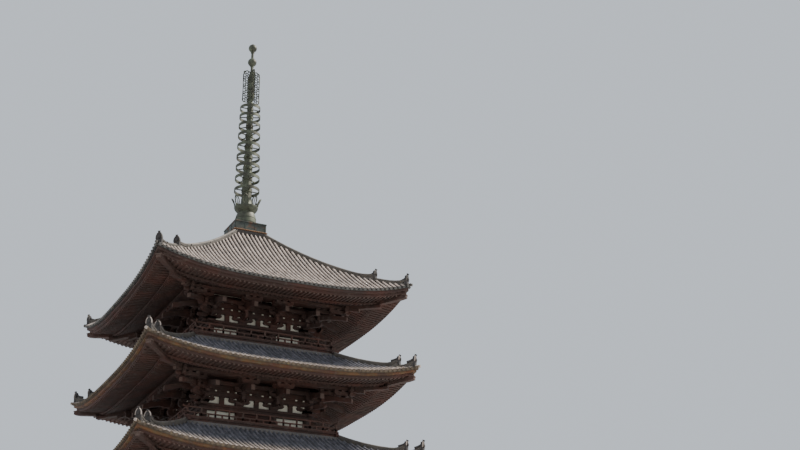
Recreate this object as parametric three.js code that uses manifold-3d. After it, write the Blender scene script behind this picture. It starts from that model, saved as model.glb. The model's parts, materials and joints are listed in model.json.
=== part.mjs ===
// A five-storey timber pagoda on a stone podium, as a scale model at 1:10.
// Driving dimensions are metres of the real building, and METRE turns them into the model's millimetres.
// The origin is the middle of the podium's foot, +Z is up, and the front faces -Y.
import * as THREE from "three";
import { mergeVertices } from "three/addons/utils/BufferGeometryUtils.js";
import Module from "manifold-3d";

const wasm = await Module();
wasm.setup();

// Scale and fit
const METRE = 100; // one real metre, in millimetres of the model
const GAP = 0.003; // joint left between two pieces that rest on each other
const BITE = 0.02; // how far joined pieces of one solid run into each other

// The storeys, from the ground up. wall is half the body's width, taken to the posts' centres,
// eave is half the roof's width at the tiles' edge, and edge is the height of that edge at mid side.
const STOREYS = [
  { number: 1, wall: 4.35, eave: 9.4, edge: 8.35, post: 0.3 },
  { number: 2, wall: 3.925, eave: 9.05, edge: 13.9, post: 0.26 },
  { number: 3, wall: 3.575, eave: 8.7, edge: 19.26, post: 0.25 },
  { number: 4, wall: 3.235, eave: 8.4, edge: 24.5, post: 0.24 },
  { number: 5, wall: 2.975, eave: 8.08, edge: 29.7, post: 0.24 },
];

// Stone podium and stairs
const PODIUM = { half: 7.0, height: 1.5, course: 0.25, recess: 0.15 };
const STAIR = { width: 3.0, steps: 7, run: 0.32 };
const CHEEK = { wide: 0.4, past: 0.19, foot: 0.26, above: 0.17 }; // the sloping stones beside a flight

// Heights below the eave edge that every storey repeats
const DECK_TOP = -2.45;
const DECK_FOOT = -2.72;
const HEAD_FOOT = -1.57;
const PLATE_FOOT = -1.35;
const PLATE_TOP = -1.2;

// Walls, frame and doors
const WALL_THICK = 0.2;
const SILL_HIGH = 0.14;
const LINTEL_HIGH = 0.3;
const BEAM_PAST = 0.03; // how far sill and head beam stand out past the posts
const PLATE_PAST = 0.1;
const DOOR = { share: 0.36, high: 3.3, sill: 0.3, jamb: 0.12, thick: 0.12 };
const LEAF = { stile: 0.14, railBack: 0.02, panelBack: 0.05 };

// Balcony and railing, measured out from the wall
const DECK = { out: 1.5, beam: 1.42, board: 0.1, inside: 0.1 };
const RAIL = { out: 1.36, top: -1.82, middle: -2.17, high: 0.08, wide: 0.1, strut: 0.06, bays: 3 };

// Bracket sets, measured out from the wall
const STEP = 0.65; // one bracket step
const WALL_BEAM = 0.16; // the beams that stand on the wall and tie the sets together
const BLOCK = { out: 0.3, top: -0.85 };
const ARM = { top: -0.45, wide: 0.28, past: 0.2 }; // each arm runs past its step by this much
const TAIL = { out: 2.42, foot: -0.73, deep: 0.26, fall: 0.3 }; // the sloping arm that carries the purlin
const PURLIN = { out: 3 * STEP, foot: -0.25, half: 0.1, prop: 0.08 };

// Eaves: two tiers of rafters under the tiles
const FLYING_IN = 1.62; // length of the upper tier, in from the tiles' edge
const RAFTER_FALL = 0.42;
const RAFTER_TIP = -0.38;
const RAFTER_DEEP = 0.22;
const FLYING_FOOT = -0.23; // underside of the upper tier at its inner end
const FASCIA_FOOT = -0.36; // and at its outer end
const TILE_EDGE = 0.12;
const BEARING = { outer: 0.2, inner: 0.6 }; // the strip that the tiles' edge rests on, in from that edge
const HIP_RAFTER = { wide: 0.34, back: 0.25, tip: 0.43, drop: 0.24, deep: 0.3, into: 0.08 };

// Roofs: the tiles follow a hollow curve, steeper towards the top, and their edge lifts at the corners
const CLIMB = { straight: 0.61, hollow: 0.028 };
const CORNER_LIFT = 1.1;
const ROOF_ABOVE = 0.12; // from the tiles' bearing inwards, the roof clears the eaves below by up to this
const TOP_ATTIC = { past: 0.1, foot: 33.1 }; // the space that the top storey opens into, past its wall
const COLLAR = { out: 1.62, wide: 0.45, show: 0.22, bite: 0.1 };
const TOP_ROOF = { ridge: 1.1, hole: 0.8, deep: 0.45 };
const HIP = { wide: 0.4, high: 0.26, low: 0.2, tip: 0.1, horn: 0.28 };
const HIP_STOP = { top: 1.66, lower: 0.9 }; // where the high ridge ends, in from the tiles' corner
const HIP_SWEEP = { top: 0.9, lower: 0.65 }; // the length over which a ridge's end sweeps up
const HIP_END = { thick: 0.16, top: 0.5, lower: 0.68 }; // the upright ornament that ends each ridge
const HIP_SINK = { inside: 0.25, tip: 0.06, rise: 1.66 }; // how deep a ridge sits in the tiles

// Spire, in heights above the ground. The bowls' and the jewels' profiles are [distance out, height].
const BASIN = { foot: 35.3, half: 1.06, rim: 1.09, neck: 36.2, lip: 36.22, top: 36.3 };
const BOWLS = {
  dome: [[0.72, BASIN.top + GAP], [0.72, 36.85], [0.66, 37.15], [0.575, 37.35]],
  flower: [[0.575, 37.42], [0.7, 37.52], [0.79, 37.68], [0.97, 38.3], [0.88, 38.34], [0.6, 37.92]],
  top: 38.08,
};
const RINGS = { lowest: 38.91, highest: 45.0, count: 9, spread: 1.08, wide: 0.84, narrow: 0.69 };
const HOOP = 0.1; // a hoop's thickness, and half its height
const SPOKE = 0.05; // half a spoke's width and height
const MAST = { foot: 0.32, head: 0.16 };
const FLAME = { foot: 45.45, top: 47.93, half: 0.585, thick: 0.07, stem: 0.12 };
const FLAME_EDGE = [[0.2, 0], [0.9, 0.02], [1, 0.1], [1, 0.84], [0.88, 0.95], [0.6, 1], [0.2, 0.96]];
const JEWELS = {
  stem: 0.1,
  ball: [[0.1, 48.38], [0.26, 48.52], [0.26, 48.72], [0.1, 48.86]],
  jewel: [[0.08, 49.46], [0.27, 49.62], [0.27, 49.78], [0.12, 49.98]],
  tip: 50.1,
};

// How finely the curves are cut
const SIDE_STEPS = 5;
const CORNER_CROWD = 0.75; // below 1, the cuts crowd towards the corners, where the edge lifts
const TILE_STEPS = { top: 4, lower: 2 };
const SPIRE_SIDES = 10;
const MAST_SIDES = 8;

// Values that follow from the driving dimensions
STOREYS.forEach((storey, i) => {
  const above = STOREYS[i + 1];
  storey.bay = (2 * storey.wall) / 3;
  storey.beam = storey.wall + storey.post + BEAM_PAST;
  storey.sill = i === 0 ? DOOR.sill : SILL_HIGH;
  storey.floor = i === 0 ? PODIUM.height + GAP : storey.edge + DECK_TOP;
  storey.inner = above ? above.wall + COLLAR.out : TOP_ROOF.ridge;
  storey.span = storey.eave - storey.inner;
  storey.reach = above ? 1.2 * storey.span : storey.span;
  const plain = CLIMB.straight * storey.span + CLIMB.hollow * storey.span ** 2;
  storey.collar = above ? above.edge + DECK_FOOT - GAP : null;
  storey.steep = above ? (storey.collar - COLLAR.show - storey.edge) / plain : 1;
  storey.rank = above ? "lower" : "top";
  storey.tileSteps = TILE_STEPS[storey.rank];
  storey.doorHalf = DOOR.share * storey.bay;
  storey.doorFoot = storey.floor + storey.sill;
  storey.doorTop = i === 0 ? storey.doorFoot + DOOR.high : storey.edge + HEAD_FOOT;
});

// Solids

function solid(geometry) {
  const plain = geometry.clone();
  plain.deleteAttribute("normal");
  plain.deleteAttribute("uv");
  const merged = mergeVertices(plain, 1e-4);
  return new wasm.Manifold(
    new wasm.Mesh({
      numProp: 3,
      vertProperties: new Float32Array(merged.attributes.position.array),
      triVerts: new Uint32Array(merged.index.array),
    }),
  );
}

function union(geometries) {
  return geometries.map(solid).reduce((whole, piece) => whole.add(piece));
}

function without(whole, geometries) {
  return geometries.map(solid).reduce((rest, piece) => rest.subtract(piece), whole);
}

function geometryOf(manifold) {
  const mesh = manifold.getMesh();
  const geometry = new THREE.BufferGeometry();
  geometry.setAttribute("position", new THREE.BufferAttribute(mesh.vertProperties, 3));
  geometry.setIndex(new THREE.BufferAttribute(mesh.triVerts, 1));
  geometry.computeVertexNormals();
  return geometry;
}

// Shapes, all given in real metres

// A block between two corners.
function block([x0, y0, z0], [x1, y1, z1]) {
  const box = new THREE.BoxGeometry((x1 - x0) * METRE, (y1 - y0) * METRE, (z1 - z0) * METRE);
  return box.translate(((x0 + x1) / 2) * METRE, ((y0 + y1) / 2) * METRE, ((z0 + z1) / 2) * METRE);
}

// An outline drawn in plan and raised between two heights.
function pillar(points, foot, top) {
  const outline = new THREE.Shape(points.map(([x, y]) => new THREE.Vector2(x * METRE, y * METRE)));
  const body = new THREE.ExtrudeGeometry(outline, { depth: (top - foot) * METRE, bevelEnabled: false });
  return body.translate(0, 0, foot * METRE);
}

// An upright plate: its outline is drawn as distance out from the axis and height, on a ray at an angle.
function plate(points, thick, angle, beside = 0) {
  const outline = new THREE.Shape(points.map(([out, z]) => new THREE.Vector2(out * METRE, z * METRE)));
  const body = new THREE.ExtrudeGeometry(outline, { depth: thick * METRE, bevelEnabled: false });
  body.translate(0, 0, (-thick / 2 + beside) * METRE);
  const ray = new THREE.Vector3(Math.cos(angle), Math.sin(angle), 0);
  const up = new THREE.Vector3(0, 0, 1);
  const across = new THREE.Vector3().crossVectors(ray, up);
  return body.applyMatrix4(new THREE.Matrix4().makeBasis(ray, up, across));
}

// An outline of [distance out, height] turned round the axis: 4 sides make a square piece, flat to the front.
function turned(points, sides) {
  const stretch = sides === 4 ? Math.SQRT2 : 1;
  const outline = points.map(([out, z]) => new THREE.Vector2(out * stretch * METRE, z * METRE));
  const body = new THREE.LatheGeometry(outline, sides, Math.PI / sides);
  return body.rotateX(Math.PI / 2);
}

// A closed band round the four sides. outlineAt(u) gives its outline as [distance out, height] pairs,
// inwards over the top and back outwards underneath, where u runs from -1 to 1 along each side.
function band(outlineAt, sideSteps) {
  const position = [];
  const index = [];
  const stations = 4 * sideSteps;
  let count = 0;
  for (let s = 0; s < stations; s++) {
    const quarter = (Math.floor(s / sideSteps) * Math.PI) / 2;
    const t = (2 * (s % sideSteps)) / sideSteps - 1;
    const u = Math.sign(t) * Math.abs(t) ** CORNER_CROWD;
    const outline = outlineAt(u);
    count = outline.length;
    for (const [out, z] of outline) {
      const along = u * out;
      const x = along * Math.cos(quarter) + out * Math.sin(quarter);
      const y = along * Math.sin(quarter) - out * Math.cos(quarter);
      position.push(x * METRE, y * METRE, z * METRE);
    }
  }
  for (let s = 0; s < stations; s++) {
    const next = ((s + 1) % stations) * count;
    for (let j = 0; j < count; j++) {
      const k = (j + 1) % count;
      const [a, b, c, d] = [s * count + j, next + j, next + k, s * count + k];
      const height = (i) => position[3 * i + 2];
      // The two triangles meet on the higher diagonal, so bands that rest on each other bend alike.
      if (height(a) + height(c) >= height(b) + height(d)) index.push(a, b, c, a, c, d);
      else index.push(a, b, d, b, c, d);
    }
  }
  const geometry = new THREE.BufferGeometry();
  geometry.setAttribute("position", new THREE.Float32BufferAttribute(position, 3));
  geometry.setIndex(index);
  return geometry;
}

// A square ring of rectangular section.
function ring(inner, outer, foot, top) {
  return band(() => [[outer, top], [inner, top], [inner, foot], [outer, foot]], 1);
}

// A piece and its three copies on the other sides.
function fourTimes(geometry) {
  return [0, 1, 2, 3].map((side) => geometry.clone().rotateZ((side * Math.PI) / 2));
}

const FRONT = -Math.PI / 2;
const FRONT_RIGHT = -Math.PI / 4;

// The roof's curves

function climb(storey, inward) {
  return storey.steep * (CLIMB.straight * inward + CLIMB.hollow * inward ** 2);
}

function tileLift(storey, u, inward) {
  return CORNER_LIFT * Math.abs(u) ** 3 * Math.max(0, 1 - inward / storey.reach) ** 2;
}

function tileHeight(storey, u, inward) {
  return storey.edge + climb(storey, inward) + tileLift(storey, u, inward);
}

// The rafters lift towards the corners too, but only outside the purlin, where they are free to.
function rafterLift(storey, u, out) {
  const purlin = storey.wall + PURLIN.out;
  return CORNER_LIFT * Math.abs(u) ** 3 * Math.max(0, (out - purlin) / (storey.eave - purlin));
}

function baseRafterFoot(storey, out) {
  return storey.edge + RAFTER_TIP + RAFTER_FALL * (storey.eave - FLYING_IN - out);
}

// Podium and stairs

function podium() {
  const { half, height, course, recess } = PODIUM;
  return union([
    turned(
      [
        [0, 0],
        [half, 0],
        [half, course],
        [half - recess, course],
        [half - recess, height - course],
        [half, height - course],
        [half, height],
        [0, height],
      ],
      4,
    ),
  ]);
}

function stairFlight() {
  const near = PODIUM.half + GAP;
  const rise = PODIUM.height / STAIR.steps;
  const points = [[near, 0]];
  for (let step = 0; step < STAIR.steps; step++) {
    const out = near + (STAIR.steps - step) * STAIR.run;
    points.push([out, step * rise], [out, (step + 1) * rise]);
  }
  points.push([near, PODIUM.height]);
  const far = near + STAIR.steps * STAIR.run + CHEEK.past;
  const cheek = [[near, 0], [far, 0], [far, CHEEK.foot], [near, PODIUM.height + CHEEK.above]];
  const beside = (STAIR.width + CHEEK.wide) / 2 - BITE;
  return union([
    plate(points, STAIR.width, FRONT),
    plate(cheek, CHEEK.wide, FRONT, beside),
    plate(cheek, CHEEK.wide, FRONT, -beside),
  ]);
}

// A storey's walls, frame and doors

function walls(storey) {
  const inner = storey.wall - WALL_THICK;
  const top = baseRafterFoot(storey, storey.wall) - GAP;
  const opening = block(
    [-storey.doorHalf, -storey.wall - BITE, storey.doorFoot],
    [storey.doorHalf, -inner + BITE, storey.doorTop],
  );
  return without(solid(ring(inner, storey.wall, storey.floor + GAP, top)), fourTimes(opening));
}

// Posts are round in front of the plaster and flat against it.
function post(storey, x) {
  const r = storey.post;
  const slant = r * Math.SQRT1_2;
  const face = -storey.wall - GAP;
  const points = [[x - r, face], [x - slant, -storey.wall - slant], [x, -storey.wall - r]];
  points.push([x + slant, -storey.wall - slant], [x + r, face]);
  return pillar(points, storey.floor + storey.sill - BITE, storey.edge + HEAD_FOOT + BITE);
}

function cornerPost(storey) {
  const r = storey.post;
  const slant = r * Math.SQRT1_2;
  const w = storey.wall;
  const points = [[w + GAP, -w + r], [w + GAP, -w - GAP], [w - r, -w - GAP], [w - slant, -w - slant]];
  points.push([w, -w - r], [w + slant, -w - slant], [w + r, -w], [w + slant, -w + slant]);
  return pillar(points, storey.floor + storey.sill - BITE, storey.edge + HEAD_FOOT + BITE);
}

function jamb(storey, side) {
  const face = storey.wall + GAP;
  const [near, far] = [storey.doorHalf, storey.doorHalf + DOOR.jamb].map((x) => side * x);
  const low = [Math.min(near, far), -face - DOOR.thick, storey.doorFoot - BITE];
  return block(low, [Math.max(near, far), -face, storey.doorTop + BITE]);
}

// The upper storeys' doors stay shut, over the opening and its jambs.
function upperDoor(storey) {
  const face = storey.wall + GAP;
  const half = storey.doorHalf + DOOR.jamb;
  return block([-half, -face - DOOR.thick, storey.doorFoot - BITE], [half, -face, storey.doorTop + BITE]);
}

function frame(storey) {
  const { wall, edge, floor, bay, beam, sill } = storey;
  const face = wall + GAP;
  const headAndPlate = [
    [beam + PLATE_PAST, edge + PLATE_TOP],
    [face, edge + PLATE_TOP],
    [face, edge + HEAD_FOOT],
    [beam, edge + HEAD_FOOT],
    [beam, edge + PLATE_FOOT],
    [beam + PLATE_PAST, edge + PLATE_FOOT],
  ];
  const pieces = [
    ring(face, beam, floor + GAP, floor + sill),
    band(() => headAndPlate, 1),
    ...fourTimes(post(storey, -bay / 2)),
    ...fourTimes(post(storey, bay / 2)),
    ...fourTimes(cornerPost(storey)),
  ];
  if (storey.number > 1) return union([...pieces, ...fourTimes(upperDoor(storey))]);
  return union([
    ...pieces,
    ring(face, beam, storey.doorTop, storey.doorTop + LINTEL_HIGH),
    ...fourTimes(jamb(storey, -1)),
    ...fourTimes(jamb(storey, 1)),
  ]);
}

// The ground floor's doors: a pair of leaves, each a board panel between stiles and rails.
function groundDoor(storey) {
  const half = storey.doorHalf - GAP;
  const foot = storey.doorFoot + GAP;
  const top = storey.doorTop - GAP;
  const front = -storey.wall - DOOR.thick / 2;
  const back = front + DOOR.thick;
  const { stile, railBack, panelBack } = LEAF;
  const stiles = [[-half, -half + stile], [-stile / 2, stile / 2], [half - stile, half]];
  const rails = [[foot, foot + stile], [top - stile, top]];
  return union([
    block([-half, front + panelBack, foot], [half, back, top]),
    ...stiles.map(([left, right]) => block([left, front, foot], [right, back, top])),
    ...rails.map(([low, high]) => block([-half, front + railBack, low], [half, back, high])),
  ]);
}

// Bracket sets, which carry the purlin three steps out from the wall

function bracketOutline(storey, carriesPurlin) {
  const { wall, edge } = storey;
  const start = wall + WALL_BEAM - BITE;
  const stepOne = wall + STEP + ARM.past;
  const stepTwo = wall + 2 * STEP + ARM.past;
  const tip = wall + TAIL.out;
  const tailFoot = (out) => edge + TAIL.foot + TAIL.fall * (tip - out);
  const tailTop = (out) => tailFoot(out) + TAIL.deep;
  const points = [
    [start, edge + PLATE_TOP + GAP],
    [wall + BLOCK.out, edge + PLATE_TOP + GAP],
    [wall + BLOCK.out, edge + BLOCK.top],
    [stepOne, edge + BLOCK.top],
    [stepOne, edge + ARM.top],
    [stepTwo, tailFoot(stepTwo)],
    [tip, tailFoot(tip)],
    [tip, tailTop(tip)],
  ];
  if (carriesPurlin) {
    const near = wall + PURLIN.out - PURLIN.prop;
    const far = wall + PURLIN.out + PURLIN.prop;
    const seat = edge + PURLIN.foot - GAP;
    points.push([far, tailTop(far)], [far, seat], [near, seat], [near, tailTop(near)]);
  }
  points.push([start, tailTop(start)]);
  return points;
}

function brackets(storey) {
  const { wall, edge, bay } = storey;
  const beamFace = wall + WALL_BEAM;
  const straight = bracketOutline(storey, true);
  const diagonal = bracketOutline(storey, false).map(([out, z]) => [out * Math.SQRT2, z]);
  return union([
    ring(wall + GAP, beamFace, edge + BLOCK.top, baseRafterFoot(storey, beamFace) - GAP),
    ...fourTimes(plate(straight, ARM.wide, FRONT, -bay / 2)),
    ...fourTimes(plate(straight, ARM.wide, FRONT, bay / 2)),
    ...fourTimes(plate(diagonal, ARM.wide, FRONT_RIGHT)),
  ]);
}

function purlin(storey) {
  const inner = storey.wall + PURLIN.out - PURLIN.half;
  const outer = storey.wall + PURLIN.out + PURLIN.half;
  return solid(ring(inner, outer, storey.edge + PURLIN.foot, baseRafterFoot(storey, outer) - GAP));
}

// The eaves: a band whose underside steps down where the lower tier of rafters ends

function eavesOutline(storey, u) {
  const { wall, eave, edge } = storey;
  const lower = eave - FLYING_IN;
  const purlin = wall + PURLIN.out;
  const back = wall - WALL_THICK;
  const lifted = ([out, z]) => [out, z + rafterLift(storey, u, out)];
  const bearing = (inward) => [eave - inward, edge + tileLift(storey, u, inward) - TILE_EDGE - GAP];
  const underside = [
    [back, baseRafterFoot(storey, back)],
    [purlin, baseRafterFoot(storey, purlin)],
    [lower, edge + RAFTER_TIP],
    [lower, edge + FLYING_FOOT],
    [eave - BEARING.outer, edge + FASCIA_FOOT],
  ];
  const backTop = [back, baseRafterFoot(storey, back) + RAFTER_DEEP];
  return [bearing(BEARING.outer), bearing(BEARING.inner), backTop, ...underside.map(lifted)];
}

function hipRafter(storey) {
  const { wall, eave, edge } = storey;
  const inner = wall + TAIL.out - HIP_RAFTER.back;
  const lower = eave - FLYING_IN;
  const outer = eave - HIP_RAFTER.tip;
  const at = (out, z) => [out * Math.SQRT2, z + rafterLift(storey, 1, out)];
  const points = [
    at(inner, baseRafterFoot(storey, inner) - HIP_RAFTER.drop),
    at(lower, edge + RAFTER_TIP - HIP_RAFTER.drop),
    at(outer, edge + FASCIA_FOOT - HIP_RAFTER.deep),
    at(outer, edge + FASCIA_FOOT + HIP_RAFTER.into),
    at(inner, baseRafterFoot(storey, inner) + HIP_RAFTER.into),
  ];
  return plate(points, HIP_RAFTER.wide, FRONT_RIGHT);
}

function eaves(storey) {
  return union([band((u) => eavesOutline(storey, u), SIDE_STEPS), ...fourTimes(hipRafter(storey))]);
}

// The tiled roof with its hip ridges

// Height of the eaves' straight top line, which the roof lies on.
function eavesTop(storey, u, out) {
  const back = storey.wall - WALL_THICK;
  const bearing = storey.eave - BEARING.inner;
  const low = baseRafterFoot(storey, back) + RAFTER_DEEP;
  const high = storey.edge + tileLift(storey, u, BEARING.inner) - TILE_EDGE;
  return THREE.MathUtils.mapLinear(out, back, bearing, low, high);
}

// The roof is solid from the tiles down to the eaves.
function roofOutline(storey, u) {
  const { wall, eave, edge, span, inner, collar } = storey;
  const points = [];
  for (let step = 0; step <= storey.tileSteps; step++) {
    const inward = (span * step) / storey.tileSteps;
    points.push([eave - inward, tileHeight(storey, u, inward)]);
  }
  const ridge = tileHeight(storey, 0, span);
  const back = collar ? inner - COLLAR.wide : wall + TOP_ATTIC.past;
  if (collar) {
    points.push([inner, collar], [back, collar]);
  } else {
    points.push([TOP_ROOF.hole, ridge], [TOP_ROOF.hole, ridge - TOP_ROOF.deep]);
    points.push([wall - WALL_THICK, TOP_ATTIC.foot]);
  }
  points.push([back, eavesTop(storey, u, back) + ROOF_ABOVE]);
  for (const inward of [BEARING.inner, BEARING.outer]) {
    points.push([eave - inward, edge + tileLift(storey, u, inward) - TILE_EDGE]);
  }
  return points;
}

// Each hip carries a high ridge, then a low one out to the corner. Each sweeps up to an upright ornament
// at its end. The ridges start inside what they run against: the collar, or the basin on the top roof.
function hipRidge(storey) {
  const { eave, inner, rank, tileSteps } = storey;
  const high = HIP_END[rank];
  const sweep = HIP_SWEEP[rank];
  const surface = (out) => tileHeight(storey, 1, eave - out);
  const at = (out, above) => [out * Math.SQRT2, surface(out) + above];
  const ridgeEnd = (out, above) => [
    at(out, high),
    at(out - HIP_END.thick, high),
    at(out - HIP_END.thick, above + HIP.horn * (high / HIP_END.lower)),
    at(out - sweep / 2, above + HIP.horn / 4),
    at(out - sweep, above),
  ];
  const start = storey.collar ? inner - COLLAR.bite : BASIN.half - HIP.wide / 2;
  const stop = eave - HIP_STOP[rank];
  const tip = eave - HIP.tip;
  const rise = eave - HIP_SINK.rise;
  const points = [
    at(start, -HIP_SINK.inside),
    at((start + rise) / 2, -HIP_SINK.inside),
    at(rise, -HIP_SINK.inside),
    at(tip, -HIP_SINK.tip),
    ...ridgeEnd(tip, HIP.low),
    at(stop, HIP.low),
    ...ridgeEnd(stop, HIP.high),
  ];
  for (let step = tileSteps - 1; step >= 0; step--) {
    points.push(at(start + (step / tileSteps) * (stop - start), HIP.high));
  }
  return plate(points, HIP.wide, FRONT_RIGHT);
}

function roof(storey) {
  const whole = union([band((u) => roofOutline(storey, u), SIDE_STEPS), ...fourTimes(hipRidge(storey))]);
  if (storey.collar) return whole;
  const seat = BASIN.half + GAP;
  return without(whole, [block([-seat, -seat, BASIN.foot], [seat, seat, BASIN.top])]);
}

// Balcony and railing of an upper storey

function balcony(storey) {
  const { wall, edge } = storey;
  const back = wall - WALL_THICK - DECK.inside;
  const outline = [
    [wall + DECK.out, edge + DECK_TOP],
    [back, edge + DECK_TOP],
    [back, edge + DECK_FOOT],
    [wall + DECK.beam, edge + DECK_FOOT],
    [wall + DECK.beam, edge + DECK_TOP - DECK.board],
    [wall + DECK.out, edge + DECK_TOP - DECK.board],
  ];
  return solid(band(() => outline, 1));
}

function railing(storey) {
  const line = storey.wall + RAIL.out;
  const foot = storey.floor + GAP;
  const top = storey.edge + RAIL.top;
  const middle = storey.edge + RAIL.middle;
  const rail = (low, high) => ring(line - RAIL.wide / 2, line + RAIL.wide / 2, low, high);
  const pieces = [rail(foot, foot + RAIL.high), rail(middle, middle + RAIL.high), rail(top - RAIL.high, top)];
  const strut = RAIL.strut / 2;
  for (let i = 0; i < RAIL.bays; i++) {
    const x = line * ((2 * i) / RAIL.bays - 1);
    const low = [x - strut, -line - strut, foot + BITE];
    pieces.push(...fourTimes(block(low, [x + strut, -line + strut, top - BITE])));
  }
  return union(pieces);
}

// The bronze spire

function dewBasin() {
  const { half, rim, neck, lip, top } = BASIN;
  const foot = BASIN.foot + GAP;
  return union([turned([[0, foot], [half, foot], [half, neck], [rim, lip], [rim, top], [0, top]], 4)]);
}

function lotusBowls() {
  const { dome, flower, top } = BOWLS;
  const inner = dome.at(-1)[0];
  return union([turned([[0, dome[0][1]], ...dome, ...flower, [inner, top], [0, top]], SPIRE_SIDES)]);
}

function ringMast() {
  const foot = BOWLS.top + GAP;
  const mast = [[0, foot], [MAST.foot, foot], [MAST.head, FLAME.foot], [0, FLAME.foot]];
  const pieces = [turned(mast, MAST_SIDES)];
  for (let i = 0; i < RINGS.count; i++) {
    const share = i / (RINGS.count - 1);
    const z = THREE.MathUtils.lerp(RINGS.lowest, RINGS.highest, share ** RINGS.spread);
    const out = THREE.MathUtils.lerp(RINGS.wide, RINGS.narrow, share);
    const [inside, low, high] = [out - HOOP, z - HOOP, z + HOOP];
    const hoop = [[inside, low], [out, low], [out, high], [inside, high], [inside, low]];
    pieces.push(turned(hoop, SPIRE_SIDES));
    const reach = out - HOOP / 2;
    const spokes = block([-reach, -SPOKE, z - SPOKE], [reach, SPOKE, z + SPOKE]);
    pieces.push(spokes.rotateZ((i % 2) * (Math.PI / 2)));
  }
  return union(pieces);
}

function waterFlame() {
  const { top, half, thick, stem } = FLAME;
  const foot = FLAME.foot + GAP;
  const right = FLAME_EDGE.map(([out, share]) => [out * half, foot + share * (top - foot)]);
  const left = right.map(([out, z]) => [-out, z]).reverse();
  const outline = [...right, [0, top], ...left];
  const core = turned([[0, foot], [stem, foot], [stem, top], [0, top]], MAST_SIDES);
  return union([core, plate(outline, thick, 0), plate(outline, thick, FRONT)]);
}

function jewels() {
  const { stem, ball, jewel, tip } = JEWELS;
  const foot = FLAME.top + GAP;
  return union([turned([[0, foot], [stem, foot], ...ball, ...jewel, [0, tip]], SPIRE_SIDES)]);
}

// Materials

const stone = new THREE.MeshStandardMaterial({ color: 0xa39c90, roughness: 0.9 });
const timber = new THREE.MeshStandardMaterial({ color: 0x4a2e22, roughness: 0.8 });
const plaster = new THREE.MeshStandardMaterial({ color: 0xddd2ae, roughness: 0.9 });
const tile = new THREE.MeshStandardMaterial({ color: 0x8b8078, roughness: 0.7 });
const bronze = new THREE.MeshStandardMaterial({ color: 0x4d5a48, roughness: 0.5, metalness: 0.8 });

// The assembly

const pagoda = new THREE.Group();
pagoda.name = "pagoda";

function add(name, manifold, material, quarter = 0) {
  const mesh = new THREE.Mesh(geometryOf(manifold), material);
  mesh.name = name;
  mesh.rotation.z = (quarter * Math.PI) / 2;
  pagoda.add(mesh);
}

add("podium", podium(), stone);
["front", "right", "back", "left"].forEach((side, quarter) => {
  add(`stairs_${side}`, stairFlight(), stone, quarter);
  add(`door_${side}`, groundDoor(STOREYS[0]), timber, quarter);
});
for (const storey of STOREYS) {
  if (storey.number > 1) {
    add(`balcony_${storey.number}`, balcony(storey), timber);
    add(`railing_${storey.number}`, railing(storey), timber);
  }
  add(`walls_${storey.number}`, walls(storey), plaster);
  add(`frame_${storey.number}`, frame(storey), timber);
  add(`brackets_${storey.number}`, brackets(storey), timber);
  add(`purlin_${storey.number}`, purlin(storey), timber);
  add(`eaves_${storey.number}`, eaves(storey), timber);
  add(`roof_${storey.number}`, roof(storey), tile);
}
add("dew_basin", dewBasin(), bronze);
add("lotus_bowls", lotusBowls(), bronze);
add("ring_mast", ringMast(), bronze);
add("water_flame", waterFlame(), bronze);
add("jewels", jewels(), bronze);

export default pagoda;
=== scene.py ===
# %% [markdown]
# A five-storey pagoda, dressed for the camera
#
# The solids of the tower come ready made, as a model at one tenth of the real size, and they settle
# what stands where. This lesson gives every surface its look: tiles, rafters, bracket sets, plaster,
# stone and bronze. Each piece is drawn in the metres of the real building and shrunk once, when its
# mesh is finished, because the sizes of a real rafter are easier to picture than those of a model's.

# %% Load the frame
import json
import math
from types import SimpleNamespace

import bmesh
import bpy
from mathutils import Matrix, Vector

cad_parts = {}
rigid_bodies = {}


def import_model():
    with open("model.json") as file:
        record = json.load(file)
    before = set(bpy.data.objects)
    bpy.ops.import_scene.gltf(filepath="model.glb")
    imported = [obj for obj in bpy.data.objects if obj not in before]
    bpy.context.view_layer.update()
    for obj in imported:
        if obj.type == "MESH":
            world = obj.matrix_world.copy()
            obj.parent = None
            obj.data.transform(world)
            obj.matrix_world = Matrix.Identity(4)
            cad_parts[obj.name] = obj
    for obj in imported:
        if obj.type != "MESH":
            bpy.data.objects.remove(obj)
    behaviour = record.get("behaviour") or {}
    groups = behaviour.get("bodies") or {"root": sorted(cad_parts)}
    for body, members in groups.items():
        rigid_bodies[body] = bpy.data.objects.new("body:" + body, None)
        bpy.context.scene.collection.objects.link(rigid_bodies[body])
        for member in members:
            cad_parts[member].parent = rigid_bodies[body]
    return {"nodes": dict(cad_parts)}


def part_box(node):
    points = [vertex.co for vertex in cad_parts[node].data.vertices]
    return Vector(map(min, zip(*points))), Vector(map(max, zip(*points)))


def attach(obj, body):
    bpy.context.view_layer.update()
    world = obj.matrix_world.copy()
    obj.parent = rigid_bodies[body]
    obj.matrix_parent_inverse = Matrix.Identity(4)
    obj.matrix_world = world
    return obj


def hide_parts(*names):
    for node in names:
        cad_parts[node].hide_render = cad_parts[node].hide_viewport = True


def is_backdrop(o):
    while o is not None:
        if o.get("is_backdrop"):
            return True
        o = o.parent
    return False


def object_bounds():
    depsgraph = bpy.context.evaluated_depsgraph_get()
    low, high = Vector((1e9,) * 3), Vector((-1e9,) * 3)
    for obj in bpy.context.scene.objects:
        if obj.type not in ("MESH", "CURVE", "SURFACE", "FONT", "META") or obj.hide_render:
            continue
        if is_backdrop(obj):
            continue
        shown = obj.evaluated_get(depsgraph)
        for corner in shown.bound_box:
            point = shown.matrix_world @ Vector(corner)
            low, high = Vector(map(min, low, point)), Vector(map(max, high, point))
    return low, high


for leftover in list(bpy.data.objects):
    bpy.data.objects.remove(leftover)
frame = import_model()
cad_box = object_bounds()
print("solids:", len(frame["nodes"]), "highest point:", round(cad_box[1].z, 3))

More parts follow.
